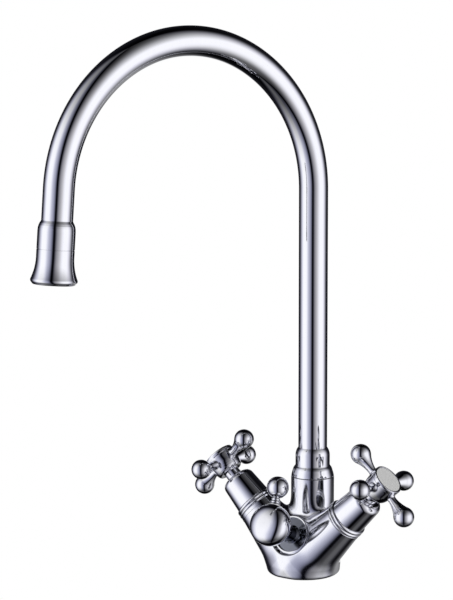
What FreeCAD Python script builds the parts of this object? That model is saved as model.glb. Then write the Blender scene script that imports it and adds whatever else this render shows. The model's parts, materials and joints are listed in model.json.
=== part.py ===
"""Kitchen filter mixer tap: a swan-neck spout, two cross handles and a filter lever on one cast body.

All lengths are millimetres and all angles degrees. The origin is the centre of the foot's
underside, +Z is up, -Y is the front of the tap and +X is the user's right. Every driving size
is a cell of the sheet, and every other size is worked out from those cells.
"""
import FreeCAD, Part
import math
import os
from types import SimpleNamespace

import Sketcher

DRIVING_SIZES = {
    # cast body: round foot, two arms in a V, the spout socket and the filter boss
    "foot_radius": 23.2,
    "foot_wall_height": 9.0,
    "foot_edge_round": 2.6,
    "core_top_radius": 13.0,
    "core_height": 26.0,
    "arm_plane_y": 4.4,
    "arm_apex_height": 7.25,
    "arm_tilt": 46.0,
    "arm_root_along": 12.0,
    "arm_root_radius": 18.0,
    "arm_end_along": 47.0,
    "arm_end_radius": 13.6,
    "arm_blend_round": 5.0,
    "column_offset": 9.75,
    "column_radius": 14.2,
    "column_start_height": 6.0,
    "socket_top_height": 62.8,
    "filter_tilt": 25.0,
    "boss_rim_front": 16.05,
    "boss_rim_height": 28.4,
    "boss_rim_along": 20.0,
    "boss_rim_radius": 12.5,
    "boss_root_radius": 13.2,
    "boss_lip_width": 1.2,
    "boss_recess_depth": 1.5,
    # waterways and threads in the body
    "socket_bore_radius": 10.35,
    "socket_depth": 24.8,
    "well_radius": 4.0,
    "well_depth": 12.5,
    "chamber_radius": 9.3,
    "chamber_depth": 20.0,
    "arm_feed_radius": 3.6,
    "supply_offset": 12.0,
    "supply_thread_radius": 4.5,
    "supply_thread_depth": 12.0,
    "mixing_passage_radius": 2.6,
    "mixing_passage_rise": 4.0,
    "filter_chamber_radius": 6.5,
    "filter_chamber_depth": 13.0,
    "filter_supply_front": 9.0,
    "filter_feed_radius": 2.0,
    "filter_passage_radius": 1.8,
    "stud_offset": 12.0,
    "stud_thread_radius": 3.4,
    "stud_thread_depth": 14.0,
    # foot seal
    "seal_margin": 5.6,
    "seal_width": 2.0,
    "seal_depth": 1.7,
    # spout tube, collar and stem
    "spout_turn": 19.75,
    "tube_radius": 9.5,
    "tube_wall": 1.0,
    "bend_radius": 94.64,
    "straight_length": 186.5,
    "bend_angle": 175.6,
    "leg_length": 33.5,
    "seam_gap": 0.3,
    "collar_shoulder_height": 7.0,
    "collar_shoulder_round": 14.0,
    "sleeve_radius": 11.35,
    "sleeve_height": 14.0,
    "sleeve_crown_height": 5.2,
    "sleeve_crown_round": 8.0,
    "stem_bore_radius": 7.0,
    "stem_depth": 20.3,
    "stem_grip": 2.9,
    "ring_groove_depth": 1.8,
    "ring_groove_width": 2.6,
    "ring_groove_spacing": 10.5,
    "lock_groove_depth": 1.1,
    "lock_groove_width": 3.8,
    "glide_washer_width": 1.9,
    "glide_washer_depth": 1.2,
    "running_gap": 0.06,
    "seal_gap": 0.02,
    # nozzle, measured along the leg from the end of the bend
    "ferrule_grip": 15.4,
    "ferrule_cove_length": 3.6,
    "ferrule_cove_rise": 0.8,
    "ferrule_crown_length": 4.0,
    "nozzle_radius": 11.4,
    "nozzle_seam_drop": 2.8,
    "nozzle_seam_gap": 0.25,
    "spigot_radius": 9.9,
    "spigot_length": 7.0,
    "spigot_bore_radius": 7.6,
    "bell_wall_length": 4.2,
    "bell_flare_length": 13.0,
    "bell_mouth_radius": 14.05,
    "bell_lip_length": 3.3,
    "bell_ledge_radius": 9.0,
    "bell_ledge_depth": 1.9,
    "aerator_washer_thickness": 1.4,
    "aerator_wall": 1.2,
    "aerator_floor": 1.4,
    "aerator_hole_radius": 0.85,
    "screen_thickness": 0.5,
    "screen_hole_radius": 0.5,
    # filtered water's own tube inside the spout
    "inner_tube_radius": 3.0,
    "inner_tube_wall": 1.0,
    "inner_tube_lift": 6.0,
    "tail_height": 10.3,
    "tail_groove_depth": 1.05,
    "tail_groove_width": 1.8,
    # hot and cold valves, each length measured from the piece below it
    "bead_ring_length": 4.9,
    "bead_ring_radius": 13.2,
    "bead_round": 1.3,
    "bonnet_root_radius": 12.5,
    "bonnet_top_radius": 11.25,
    "bonnet_wall_length": 16.6,
    "bonnet_crown_length": 3.8,
    "bonnet_crown_radius": 8.2,
    "bonnet_crown_round": 4.2,
    "bonnet_wall": 1.7,
    "headwork_thread_radius": 9.2,
    "headwork_nose_radius": 8.2,
    "headwork_flange_radius": 11.0,
    "headwork_flange_thickness": 3.0,
    "hexagon_radius": 9.3,
    "hexagon_length": 12.0,
    "gland_radius": 5.6,
    "gland_depth": 2.8,
    "disc_radius": 6.6,
    "disc_thickness": 2.2,
    "disc_port_radius": 1.7,
    "disc_port_offset": 3.6,
    "seat_washer_thickness": 2.8,
    "spindle_radius": 3.95,
    "spindle_seal_depth": 12.0,
    "spline_radius": 3.6,
    "spline_tooth_radius": 0.45,
    "circlip_thickness": 0.8,
    "circlip_width": 1.7,
    # cross handles
    "hub_tail_depth": 1.3,
    "hub_tail_radius": 5.2,
    "hub_clearance": 2.3,
    "hub_base_radius": 6.6,
    "hub_bowl_height": 5.4,
    "hub_bowl_radius": 9.9,
    "hub_bowl_round": 6.6,
    "hub_rim_radius": 10.2,
    "hub_rim_rise": 2.45,
    "hub_rim_height": 4.1,
    "hub_lip_width": 0.75,
    "cross_rise": 5.95,
    "cross_reach": 24.86,
    "cross_ball_radius": 6.6,
    "cross_neck_radius": 2.6,
    "cross_neck_reach": 10.5,
    "hot_handle_turn": 2.8,
    "cold_handle_turn": 4.5,
    "index_thickness": 1.5,
    "screw_radius": 1.95,
    "screw_head_radius": 4.0,
    "screw_head_height": 2.3,
    "screw_length": 9.0,
    # filter valve, each length measured from the piece below it
    "filter_neck_radius": 4.9,
    "filter_neck_length": 14.7,
    "filter_flange_thickness": 1.2,
    "filter_thread_radius": 6.4,
    "filter_disc_radius": 4.8,
    "filter_disc_thickness": 1.5,
    "filter_port_radius": 1.1,
    "filter_port_offset": 2.6,
    "filter_washer_thickness": 1.6,
    "filter_spindle_radius": 2.85,
    "spindle_engagement": 1.5,
    "knob_radius": 13.6,
    "knob_overlap": 2.7,
    "knob_front_depth": 9.8,
    "knob_shoulder_round": 8.0,
    "knob_pocket_radius": 5.3,
    "lever_turn": 5.3,
    "lever_neck_length": 0.9,
    "lever_ball_radius": 7.5,
    "lever_stem_radius": 2.2,
    "lever_neck_radius": 2.4,
    "lever_collar_radius": 3.4,
    "lever_bead_radius": 2.7,
    "set_screw_radius": 2.0,
    "set_screw_length": 5.5,
    "hexagon_socket_radius": 1.15,
}

ROOT_POINT = (-1, 1)

UP = FreeCAD.Vector(0, 0, 1)
RIGHT = FreeCAD.Vector(1, 0, 0)
BACK = FreeCAD.Vector(0, 1, 0)

document = FreeCAD.newDocument("FilterMixerTap")


class Size(float):
    """A length or an angle that keeps the sheet formula it was worked out with."""

    def __new__(cls, value, formula=None):
        size = super().__new__(cls, value)
        size.formula = formula or repr(float(value))
        return size

    def __add__(self, other):
        return combined(self, "+", other, float(self) + float(other))

    def __radd__(self, other):
        return combined(other, "+", self, float(other) + float(self))

    def __sub__(self, other):
        return combined(self, "-", other, float(self) - float(other))

    def __rsub__(self, other):
        return combined(other, "-", self, float(other) - float(self))

    def __mul__(self, other):
        return combined(self, "*", other, float(self) * float(other))

    def __rmul__(self, other):
        return combined(other, "*", self, float(other) * float(self))

    def __truediv__(self, other):
        return combined(self, "/", other, float(self) / float(other))

    def __neg__(self):
        return combined(0, "-", self, -float(self))


def formula_of(value):
    """The text that a value has in a formula."""
    return value.formula if isinstance(value, Size) else repr(float(value))


def combined(left, sign, right, value):
    """The size that two values make together."""
    return Size(value, f"({formula_of(left)} {sign} {formula_of(right)})")


def root(value):
    """Square root of a size."""
    return Size(math.sqrt(value), f"sqrt({formula_of(value)})")


def sine(angle):
    """Sine of an angle in degrees."""
    return Size(math.sin(math.radians(angle)), f"sin({formula_of(angle)})")


def cosine(angle):
    """Cosine of an angle in degrees."""
    return Size(math.cos(math.radians(angle)), f"cos({formula_of(angle)})")


def make_sheet():
    """Write the driving sizes to the sheet and hand them back by name."""
    sheet = document.addObject("Spreadsheet::Sheet", "Sizes")
    sizes = {}
    for row, (name, value) in enumerate(DRIVING_SIZES.items(), start=1):
        sheet.set(f"A{row}", name)
        sheet.set(f"B{row}", str(value))
        sheet.setAlias(f"B{row}", name)
        sizes[name] = Size(value, f"Sizes.{name}")
    document.recompute()
    return SimpleNamespace(**sizes)


s = make_sheet()


def bind(item, prop, size):
    """Tie a property to the sheet, or set it when it is a plain number."""
    if isinstance(size, Size):
        item.setExpression(prop, size.formula)


def new_body(label, placement):
    """An empty body with its label and its place in the tap."""
    body = document.addObject("PartDesign::Body", label)
    body.Label = label
    body.Placement = placement
    return body


def base_plane(body, role):
    """One of a body's own origin planes or axes."""
    return next(item for item in body.Origin.OriginFeatures if item.Role == role)


def new_sketch(body, name, role="XZ_Plane"):
    """A sketch on one of the body's own planes."""
    sketch = body.newObject("Sketcher::SketchObject", name)
    sketch.AttachmentSupport = (base_plane(body, role), [""])
    sketch.MapMode = "FlatFace"
    return sketch


def arc_between(start, finish, radius):
    """The short arc from start to finish: it turns left with a positive radius, right with a negative one."""
    chord = FreeCAD.Vector(finish[0] - start[0], finish[1] - start[1], 0)
    middle = FreeCAD.Vector((finish[0] + start[0]) / 2, (finish[1] + start[1]) / 2, 0)
    left = FreeCAD.Vector(-chord.y, chord.x, 0).normalize()
    rise = math.sqrt(max(float(radius) ** 2 - chord.Length ** 2 / 4, 0))
    centre = middle + left * (rise if radius > 0 else -rise)
    circle = Part.Circle(centre, UP, abs(float(radius)))
    first, last = (start, finish) if radius > 0 else (finish, start)
    angles = [math.atan2(point[1] - centre.y, point[0] - centre.x) for point in (first, last)]
    return Part.ArcOfCircle(circle, *angles)


def pin_point(sketch, geometry, point, x, y):
    """Hold a point of the sketch at its x and y. A sketch's upright axis is -2 and its level axis -1."""
    for kind, value, axis in (("DistanceX", x, -2), ("DistanceY", y, -1)):
        if value == 0:
            sketch.addConstraint(Sketcher.Constraint("PointOnObject", geometry, point, axis))
            continue
        index = sketch.addConstraint(Sketcher.Constraint(kind, *ROOT_POINT, geometry, point, float(value)))
        bind(sketch, f"Constraints[{index}]", value)


def draw(sketch, corners, closed=True):
    """Draw lines and arcs through (x, y) corners; a third value is the radius of the arc that arrives."""
    count = len(corners)
    spans = []
    for index in range(count if closed else count - 1):
        start = corners[index]
        finish = corners[(index + 1) % count]
        if len(finish) == 2:
            line = Part.LineSegment(FreeCAD.Vector(*start[:2], 0), FreeCAD.Vector(*finish[:2], 0))
            spans.append((sketch.addGeometry(line, False), 1, 2))
            continue
        radius = finish[2]
        geometry = sketch.addGeometry(arc_between(start, finish, radius), False)
        spans.append((geometry, 1, 2) if radius > 0 else (geometry, 2, 1))
    for index, (geometry, _, end) in enumerate(spans):
        following = (index + 1) % len(spans)
        if closed or following:
            sketch.addConstraint(Sketcher.Constraint("Coincident", geometry, end, *spans[following][:2]))
    for index, corner in enumerate(corners):
        last_open = not closed and index == count - 1
        geometry, start, end = spans[index - 1] if last_open else spans[index]
        pin_point(sketch, geometry, end if last_open else start, *corner[:2])
        if len(corner) == 3:
            arc = spans[index - 1][0]
            size = sketch.addConstraint(Sketcher.Constraint("Radius", arc, abs(float(corner[2]))))
            bind(sketch, f"Constraints[{size}]", corner[2] if corner[2] > 0 else -corner[2])
    return sketch


def turn(body, corners, name="Turned", kind="Revolution"):
    """Turn a closed (radius, height) outline about the body's upright axis."""
    sketch = draw(new_sketch(body, name + "Outline"), corners)
    feature = body.newObject(f"PartDesign::{kind}", name)
    feature.Profile = sketch
    feature.ReferenceAxis = (sketch, ["V_Axis"])
    feature.Angle = 360
    return feature


def turned_part(label, placement, corners):
    """A sub-part made by turning one outline."""
    body = new_body(label, placement)
    turn(body, corners)
    return body


def primitive(body, kind, name, place, rotation=None, **sizes):
    """Add or cut a bound primitive; place is its (x, y, z) in the body."""
    feature = body.newObject(f"PartDesign::{kind}", name)
    feature.Placement = FreeCAD.Placement(FreeCAD.Vector(*place), rotation or FreeCAD.Rotation())
    for axis, value in zip("xyz", place):
        bind(feature, f"Placement.Base.{axis}", value)
    for prop, value in sizes.items():
        setattr(feature, prop, value)
        bind(feature, prop, value)
    return feature


def ring_of(body, feature, count):
    """Repeat a feature evenly round the body's upright axis."""
    pattern = body.newObject("PartDesign::PolarPattern", feature.Name + "Ring")
    pattern.Originals = [feature]
    pattern.Axis = (base_plane(body, "Z_Axis"), [""])
    pattern.Angle = 360
    pattern.Occurrences = count
    body.Tip = pattern
    return pattern


def torus(label, placement, ring_radius, section_radius, height):
    """A rubber ring round the axis at a height."""
    ring = document.addObject("Part::Torus", label)
    ring.Label = label
    ring.Radius1 = ring_radius
    ring.Radius2 = section_radius
    bind(ring, "Radius1", ring_radius)
    bind(ring, "Radius2", section_radius)
    ring.Placement = placement.multiply(FreeCAD.Placement(UP * float(height), FreeCAD.Rotation()))
    return ring


def ball_meets(radius, ball_radius):
    """How far from a ball's centre a round neck of the given radius meets it."""
    return root(ball_radius * ball_radius - radius * radius)


# Foot seal
seal_inner = s.foot_radius - s.seal_margin

# Stations up the column
socket_floor = s.socket_top_height - s.socket_depth
well_floor = socket_floor - s.well_depth
stem_floor = s.socket_top_height - s.stem_depth
collar_base = s.socket_top_height + s.seam_gap
stem_top = collar_base + s.stem_grip
bend_start = stem_top + s.straight_length
inner_tube_start = well_floor + s.inner_tube_lift

# Stations down the spout's leg
ferrule_start = s.leg_length - s.ferrule_grip
nozzle_seam = s.leg_length + s.nozzle_seam_drop
bell_flare = nozzle_seam + s.bell_wall_length
bell_mouth = bell_flare + s.bell_flare_length
bell_end = bell_mouth + s.bell_lip_length
bell_ledge = bell_end - s.bell_ledge_depth

# Stations along each arm
chamber_floor = s.arm_end_along - s.chamber_depth
bead_end = s.arm_end_along + s.bead_ring_length
bonnet_shoulder = bead_end + s.bonnet_wall_length
bonnet_top = bonnet_shoulder + s.bonnet_crown_length
gland_top = bonnet_top - s.gland_depth
hub_tail = bonnet_top - s.hub_tail_depth
hub_base = bonnet_top + s.hub_clearance
hub_bowl = hub_base + s.hub_bowl_height
cross_middle = hub_bowl + s.cross_rise
hub_rim = cross_middle + s.hub_rim_rise
hub_top = hub_rim + s.hub_rim_height

# Stations along the filter valve
filter_chamber_floor = s.boss_rim_along - s.filter_chamber_depth
recess_floor = s.boss_rim_along - s.boss_recess_depth
filter_flange_end = recess_floor + s.filter_flange_thickness
filter_neck_end = filter_flange_end + s.filter_neck_length
knob_centre = filter_neck_end + s.knob_radius - s.knob_overlap
knob_inset = s.knob_radius - s.knob_shoulder_round

# Axes of the tap
arm_origin = FreeCAD.Vector(0, -s.arm_plane_y, s.arm_apex_height)
HOT_ARM = FreeCAD.Placement(arm_origin, FreeCAD.Rotation(BACK, -s.arm_tilt))
COLD_ARM = FreeCAD.Placement(arm_origin, FreeCAD.Rotation(BACK, s.arm_tilt))
COLUMN = FreeCAD.Placement(FreeCAD.Vector(0, s.column_offset, 0), FreeCAD.Rotation())
SPOUT = COLUMN.multiply(FreeCAD.Placement(FreeCAD.Vector(), FreeCAD.Rotation(UP, -90 - s.spout_turn)))

bend_end_reach = s.bend_radius - s.bend_radius * cosine(s.bend_angle)
bend_end_height = bend_start + s.bend_radius * sine(s.bend_angle)
NOZZLE = SPOUT.multiply(
    FreeCAD.Placement(
        FreeCAD.Vector(bend_end_reach, 0, bend_end_height), FreeCAD.Rotation(BACK, s.bend_angle)
    )
)

boss_direction = FreeCAD.Vector(0, -cosine(s.filter_tilt), sine(s.filter_tilt))
boss_rim = FreeCAD.Vector(0, -s.boss_rim_front, s.boss_rim_height)
FILTER = FreeCAD.Placement(
    boss_rim - boss_direction * s.boss_rim_along, FreeCAD.Rotation(RIGHT, 90 - s.filter_tilt)
)
LEVER_SIDE = FILTER.multiply(FreeCAD.Placement(FreeCAD.Vector(), FreeCAD.Rotation(UP, 90 + s.lever_turn)))


def along(axis, distance):
    """The point at a distance along an axis."""
    return axis.multVec(UP * float(distance))


def across(axis, distance, side=1):
    """Placement at a distance along an axis that points square to it, along its own local X or against it."""
    square = FreeCAD.Rotation(BACK, 90 * side)
    return axis.multiply(FreeCAD.Placement(UP * float(distance), square))


# Cast body
def cast_cone(name, placement, start, end, start_radius, end_radius):
    """A cone of the casting from one station of its axis to another."""
    same = float(start_radius) == float(end_radius)
    solid = document.addObject("Part::Cylinder" if same else "Part::Cone", name)
    if same:
        bind(solid, "Radius", start_radius)
        solid.Radius = start_radius
    else:
        solid.Radius1 = start_radius
        solid.Radius2 = end_radius
        bind(solid, "Radius1", start_radius)
        bind(solid, "Radius2", end_radius)
    length = end - start
    solid.Height = length
    bind(solid, "Height", length)
    solid.Placement = placement.multiply(FreeCAD.Placement(UP * float(start), FreeCAD.Rotation()))
    return solid


def cast_hole(name, start, end, radius):
    """A round passage from one point to another."""
    hole = document.addObject("Part::Cylinder", name)
    hole.Radius = radius
    bind(hole, "Radius", radius)
    hole.Height = (end - start).Length
    hole.Placement = FreeCAD.Placement(start, FreeCAD.Rotation(UP, end - start))
    return hole


def joined(name, items):
    """Fuse several solids."""
    fusion = document.addObject("Part::MultiFuse", name)
    fusion.Shapes = items
    fusion.Refine = True
    return fusion


def casting_blank():
    """The body's outside: foot, core, arms, socket column and filter boss."""
    ground = FreeCAD.Placement()
    arms = [
        cast_cone(name, axis, s.arm_root_along, s.arm_end_along, s.arm_root_radius, s.arm_end_radius)
        for name, axis in (("HotArm", HOT_ARM), ("ColdArm", COLD_ARM))
    ]
    return joined(
        "CastingBlank",
        [
            cast_cone("FootWall", ground, Size(0), s.foot_wall_height, s.foot_radius, s.foot_radius),
            cast_cone("Core", ground, s.foot_wall_height, s.core_height, s.foot_radius, s.core_top_radius),
            cast_cone(
                "Column", COLUMN, s.column_start_height, s.socket_top_height, s.column_radius, s.column_radius
            ),
            cast_cone("Boss", FILTER, Size(2), s.boss_rim_along, s.boss_root_radius, s.boss_rim_radius),
            *arms,
        ],
    )


def is_column_wall(face):
    """Whether a face is the upright wall of the spout's column."""
    surface = face.Surface
    return isinstance(surface, Part.Cylinder) and math.isclose(surface.Radius, s.column_radius)


def is_arm_wall(face):
    """Whether a face is the cone of an arm."""
    surface = face.Surface
    return isinstance(surface, Part.Cone) and abs(surface.Axis.x) > 0.1


def rounded_blank(blank):
    """Round the foot's lower edge, and the inner corners where the column grows out of the arms."""
    rounds = []
    for index, edge in enumerate(blank.Shape.Edges, start=1):
        faces = blank.Shape.ancestorsOfType(edge, Part.Face)
        lowest = edge.BoundBox.ZMax < 0.01
        between = any(map(is_column_wall, faces)) and any(map(is_arm_wall, faces))
        if lowest:
            rounds.append((index, s.foot_edge_round, s.foot_edge_round))
        elif between:
            rounds.append((index, s.arm_blend_round, s.arm_blend_round))
    fillet = document.addObject("Part::Fillet", "RoundedBlank")
    fillet.Base = blank
    fillet.Edges = [(index, float(first), float(second)) for index, first, second in rounds]
    return fillet


def arm_waterways(name, axis, side):
    """Holes of one arm: the valve chamber, its feed from below and the passage to the spout."""
    supply = FreeCAD.Vector(side * s.supply_offset, -s.arm_plane_y, 0)
    feed_height = s.arm_apex_height + s.supply_offset / math.tan(math.radians(s.arm_tilt))
    feed_top = FreeCAD.Vector(supply.x, supply.y, feed_height)
    chamber_side = along(axis, chamber_floor + s.mixing_passage_rise)
    towards = (chamber_side - COLUMN.Base).cross(UP).cross(-UP).normalize()
    mixing_end = COLUMN.Base - towards * (s.socket_bore_radius - s.mixing_passage_radius)
    mixing_end.z = socket_floor + s.mixing_passage_radius / 2
    return [
        cast_cone(
            name + "Chamber", axis, chamber_floor, s.arm_end_along + 1, s.chamber_radius, s.chamber_radius
        ),
        cast_hole(name + "Feed", feed_top, along(axis, chamber_floor + 1), s.arm_feed_radius),
        cast_hole(name + "Riser", supply, feed_top, s.arm_feed_radius),
        cast_hole(
            name + "Supply", supply, supply + UP * float(s.supply_thread_depth), s.supply_thread_radius
        ),
        cast_hole(name + "Mixing", chamber_side, mixing_end, s.mixing_passage_radius),
    ]


def filter_waterways():
    """Holes of the filter valve: recess, chamber, supply and the passage to the spout's centre."""
    supply = FreeCAD.Vector(0, -s.filter_supply_front, 0)
    level = (s.boss_rim_front - s.filter_supply_front) / math.cos(math.radians(s.filter_tilt))
    riser_top = along(FILTER, s.boss_rim_along - level)
    recess_radius = s.boss_rim_radius - s.boss_lip_width
    well = FreeCAD.Vector(0, s.column_offset, well_floor + s.filter_passage_radius)
    return [
        cast_cone("Recess", FILTER, recess_floor, s.boss_rim_along + 1, recess_radius, recess_radius),
        cast_cone(
            "FilterChamber", FILTER, filter_chamber_floor, s.boss_rim_along,
            s.filter_chamber_radius, s.filter_chamber_radius,
        ),
        cast_hole("FilterSupply", supply, supply + UP * float(s.supply_thread_depth), s.supply_thread_radius),
        cast_hole("FilterRiser", supply, riser_top, s.filter_feed_radius),
        cast_hole("FilterPassage", along(FILTER, filter_chamber_floor), well, s.filter_passage_radius),
    ]


def seal_groove():
    """The ring-shaped groove for the foot seal."""
    groove = document.addObject("Part::Cut", "SealGroove")
    ground = FreeCAD.Placement()
    outer_radius = seal_inner + s.seal_width
    groove.Base = cast_cone("GrooveOutside", ground, Size(0), s.seal_depth, outer_radius, outer_radius)
    groove.Tool = cast_cone(
        "GrooveInside", ground, Size(0), s.seal_depth, seal_inner, seal_inner
    )
    return groove


def body_casting():
    """The cast brass body with all its holes."""
    blank = casting_blank()
    document.recompute()
    rounded = rounded_blank(blank)
    stud = FreeCAD.Vector(0, s.stud_offset, 0)
    lock = along(COLUMN, lock_height)
    recess_radius = s.socket_bore_radius + s.glide_washer_width + s.running_gap
    holes = [
        cast_cone(
            "Socket", COLUMN, socket_floor, s.socket_top_height + 1,
            s.socket_bore_radius, s.socket_bore_radius,
        ),
        cast_cone(
            "WasherRecess", COLUMN, s.socket_top_height - s.glide_washer_depth, s.socket_top_height + 1,
            recess_radius, recess_radius,
        ),
        cast_cone(
            "Well", COLUMN, well_floor, socket_floor + 1, s.well_radius, s.well_radius
        ),
        cast_hole("StudThread", stud, stud + UP * float(s.stud_thread_depth), s.stud_thread_radius),
        cast_hole("LockThread", lock, lock + BACK * float(s.column_radius + 1), s.set_screw_radius),
        *arm_waterways("Hot", HOT_ARM, -1),
        *arm_waterways("Cold", COLD_ARM, 1),
        *filter_waterways(),
        seal_groove(),
    ]
    casting = document.addObject("Part::Cut", "body_casting")
    casting.Label = "body_casting"
    casting.Base = rounded
    casting.Tool = joined("Waterways", holes)
    return casting


def foot_seal():
    """Rubber ring in the foot's groove, flush with the underside."""
    inner = seal_inner + s.running_gap
    outer = seal_inner + s.seal_width - s.running_gap
    top = s.seal_depth - s.running_gap
    return turned_part("foot_seal", FreeCAD.Placement(), [(inner, 0), (outer, 0), (outer, top), (inner, top)])


# Spout
stem_radius = s.socket_bore_radius - s.running_gap
groove_floor = stem_radius - s.ring_groove_depth
lower_groove = stem_floor + s.ring_groove_width
upper_groove = lower_groove + s.ring_groove_spacing
lock_groove_start = lower_groove + s.ring_groove_width + 1.6
lock_height = lock_groove_start + s.lock_groove_width / 2


def spout_path(body, start_height, leg_length):
    """Centre line of the spout: up the column, round the bend and down the leg."""
    leg_x = bend_end_reach + leg_length * sine(s.bend_angle)
    leg_z = bend_end_height + leg_length * cosine(s.bend_angle)
    corners = [
        (0, start_height),
        (0, bend_start),
        (bend_end_reach, bend_end_height, -s.bend_radius),
        (leg_x, leg_z),
    ]
    return draw(new_sketch(body, "CentreLine"), corners, closed=False)


def ring_section(body, height, outer, inner):
    """Two circles round the axis at a height."""
    sketch = new_sketch(body, "Section", "XY_Plane")
    sketch.AttachmentOffset = FreeCAD.Placement(UP * float(height), FreeCAD.Rotation())
    bind(sketch, "AttachmentOffset.Base.z", height)
    for radius in (outer, inner):
        circle = sketch.addGeometry(Part.Circle(FreeCAD.Vector(), UP, float(radius)), False)
        sketch.addConstraint(Sketcher.Constraint("Coincident", circle, 3, *ROOT_POINT))
        index = sketch.addConstraint(Sketcher.Constraint("Radius", circle, float(radius)))
        bind(sketch, f"Constraints[{index}]", radius)
    return sketch


def bent_tube(label, start_height, leg_length, outer, wall):
    """A round tube along the spout's centre line."""
    body = new_body(label, SPOUT)
    path = spout_path(body, start_height, leg_length)
    section = ring_section(body, start_height, outer, outer - wall)
    pipe = body.newObject("PartDesign::AdditivePipe", "Tube")
    pipe.Profile = section
    pipe.Spine = (path, ["Edge1", "Edge2", "Edge3"])
    return body


def spout_collar():
    """Turned collar at the spout's root: a rounded shoulder below a plain sleeve."""
    shoulder_top = collar_base + s.collar_shoulder_height
    sleeve_top = collar_base + s.sleeve_height
    crown_top = sleeve_top + s.sleeve_crown_height
    return turned_part(
        "spout_collar",
        SPOUT,
        [
            (stem_radius, collar_base),
            (s.column_radius - 0.1, collar_base),
            (s.sleeve_radius + 0.1, shoulder_top, s.collar_shoulder_round),
            (s.sleeve_radius, shoulder_top + 0.4),
            (s.sleeve_radius, sleeve_top),
            (s.tube_radius + 0.15, crown_top, s.sleeve_crown_round),
            (s.tube_radius, crown_top),
            (s.tube_radius, stem_top),
            (stem_radius, stem_top),
        ],
    )


def spout_stem():
    """Turned stem that the spout swivels on, with two seal grooves and the locking groove between them."""
    lock_floor = stem_radius - s.lock_groove_depth
    outline = [(s.stem_bore_radius, stem_floor), (stem_radius, stem_floor)]
    grooves = (
        (lower_groove, s.ring_groove_width, groove_floor),
        (lock_groove_start, s.lock_groove_width, lock_floor),
        (upper_groove, s.ring_groove_width, groove_floor),
    )
    for start, width, floor in grooves:
        end = start + width
        outline += [(stem_radius, start), (floor, start), (floor, end), (stem_radius, end)]
    outline += [(stem_radius, stem_top), (s.stem_bore_radius, stem_top)]
    return turned_part("spout_stem", SPOUT, outline)


def spout_seals():
    """The stem's two rubber rings."""
    section = (s.socket_bore_radius - groove_floor) / 2 - s.seal_gap
    centre = groove_floor + section + s.seal_gap
    for label, start in (("spout_o_ring_lower", lower_groove), ("spout_o_ring_upper", upper_groove)):
        torus(label, SPOUT, centre, section, start + s.ring_groove_width / 2)


def glide_washer():
    """Low-friction washer that the collar turns on."""
    inner = s.socket_bore_radius
    outer = inner + s.glide_washer_width
    floor = s.socket_top_height - s.glide_washer_depth
    top = collar_base - s.running_gap
    return turned_part("glide_washer", COLUMN, [(inner, floor), (outer, floor), (outer, top), (inner, top)])


def set_screw(label, placement, tip, tip_length, tip_radius):
    """A headless screw with a plain tip and a hexagon socket."""
    body = new_body(label, placement)
    shoulder = tip + tip_length
    end = shoulder + s.set_screw_length - 2
    outline = [
        (0, tip), (tip_radius, tip), (tip_radius, shoulder), (s.set_screw_radius, shoulder),
        (s.set_screw_radius, end), (0, end),
    ]
    turn(body, outline)
    depth = s.set_screw_length / 3
    primitive(
        body, "SubtractivePrism", "Socket", (0, 0, end - depth),
        Polygon=6, Circumradius=s.hexagon_socket_radius, Height=depth + 1,
    )
    return body


def spout_lock_screw():
    """Set screw at the back of the socket, its tip in the stem's locking groove."""
    axis = FreeCAD.Placement(along(COLUMN, lock_height), FreeCAD.Rotation(RIGHT, -90))
    tip = stem_radius - s.lock_groove_depth + 0.25
    tip_length = s.socket_bore_radius + 0.25 - tip
    return set_screw("spout_lock_screw", axis, tip, tip_length, s.set_screw_radius * 0.7)


# Nozzle
def nozzle_ferrule():
    """Upper part of the nozzle: a coved ring on the tube's end and the threaded spigot for the bell."""
    start = ferrule_start
    cove_end = start + s.ferrule_cove_length
    cove_radius = s.tube_radius + 0.15 + s.ferrule_cove_rise
    crown_end = cove_end + s.ferrule_crown_length
    seam = nozzle_seam
    spigot_end = seam + s.spigot_length
    return turned_part(
        "nozzle_ferrule",
        NOZZLE,
        [
            (s.tube_radius, start),
            (s.tube_radius + 0.15, start),
            (cove_radius, cove_end, -s.ferrule_cove_length * 2.4),
            (s.nozzle_radius - 0.05, crown_end, s.ferrule_crown_length * 2.4),
            (s.nozzle_radius, seam),
            (s.spigot_radius, seam),
            (s.spigot_radius, spigot_end),
            (s.spigot_bore_radius, spigot_end),
            (s.spigot_bore_radius, s.leg_length),
            (s.tube_radius, s.leg_length),
        ],
    )


def flare_radius(length, rise):
    """Radius of an arc that leaves a straight wall smoothly and rises over a length."""
    return (length * length + rise * rise) / (rise * 2)


def nozzle_bell():
    """Trumpet-shaped lower part of the nozzle, with a ledge that holds the aerator."""
    seam = nozzle_seam + s.nozzle_seam_gap
    flare = flare_radius(s.bell_flare_length, s.bell_mouth_radius - s.nozzle_radius)
    lip = s.bell_lip_length
    return turned_part(
        "nozzle_bell",
        NOZZLE,
        [
            (s.spigot_radius, seam),
            (s.nozzle_radius, seam),
            (s.nozzle_radius, bell_flare),
            (s.bell_mouth_radius, bell_mouth, -flare),
            (s.bell_mouth_radius - lip / 2, bell_end, lip * 0.75),
            (s.bell_mouth_radius - lip, bell_end),
            (s.bell_ledge_radius, bell_ledge),
            (s.spigot_radius, bell_ledge),
        ],
    )


aerator_radius = s.spigot_radius - s.running_gap
aerator_start = nozzle_seam + s.spigot_length + s.aerator_washer_thickness + 0.1
screen_top = bell_ledge - s.aerator_floor - s.screen_thickness - 0.1


def aerator_washer():
    """Rubber washer between the spigot and the aerator."""
    start = nozzle_seam + s.spigot_length + 0.05
    end = start + s.aerator_washer_thickness
    inner = s.spigot_bore_radius
    return turned_part(
        "aerator_washer",
        NOZZLE,
        [(inner, start), (aerator_radius, start), (aerator_radius, end), (inner, end)],
    )


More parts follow.
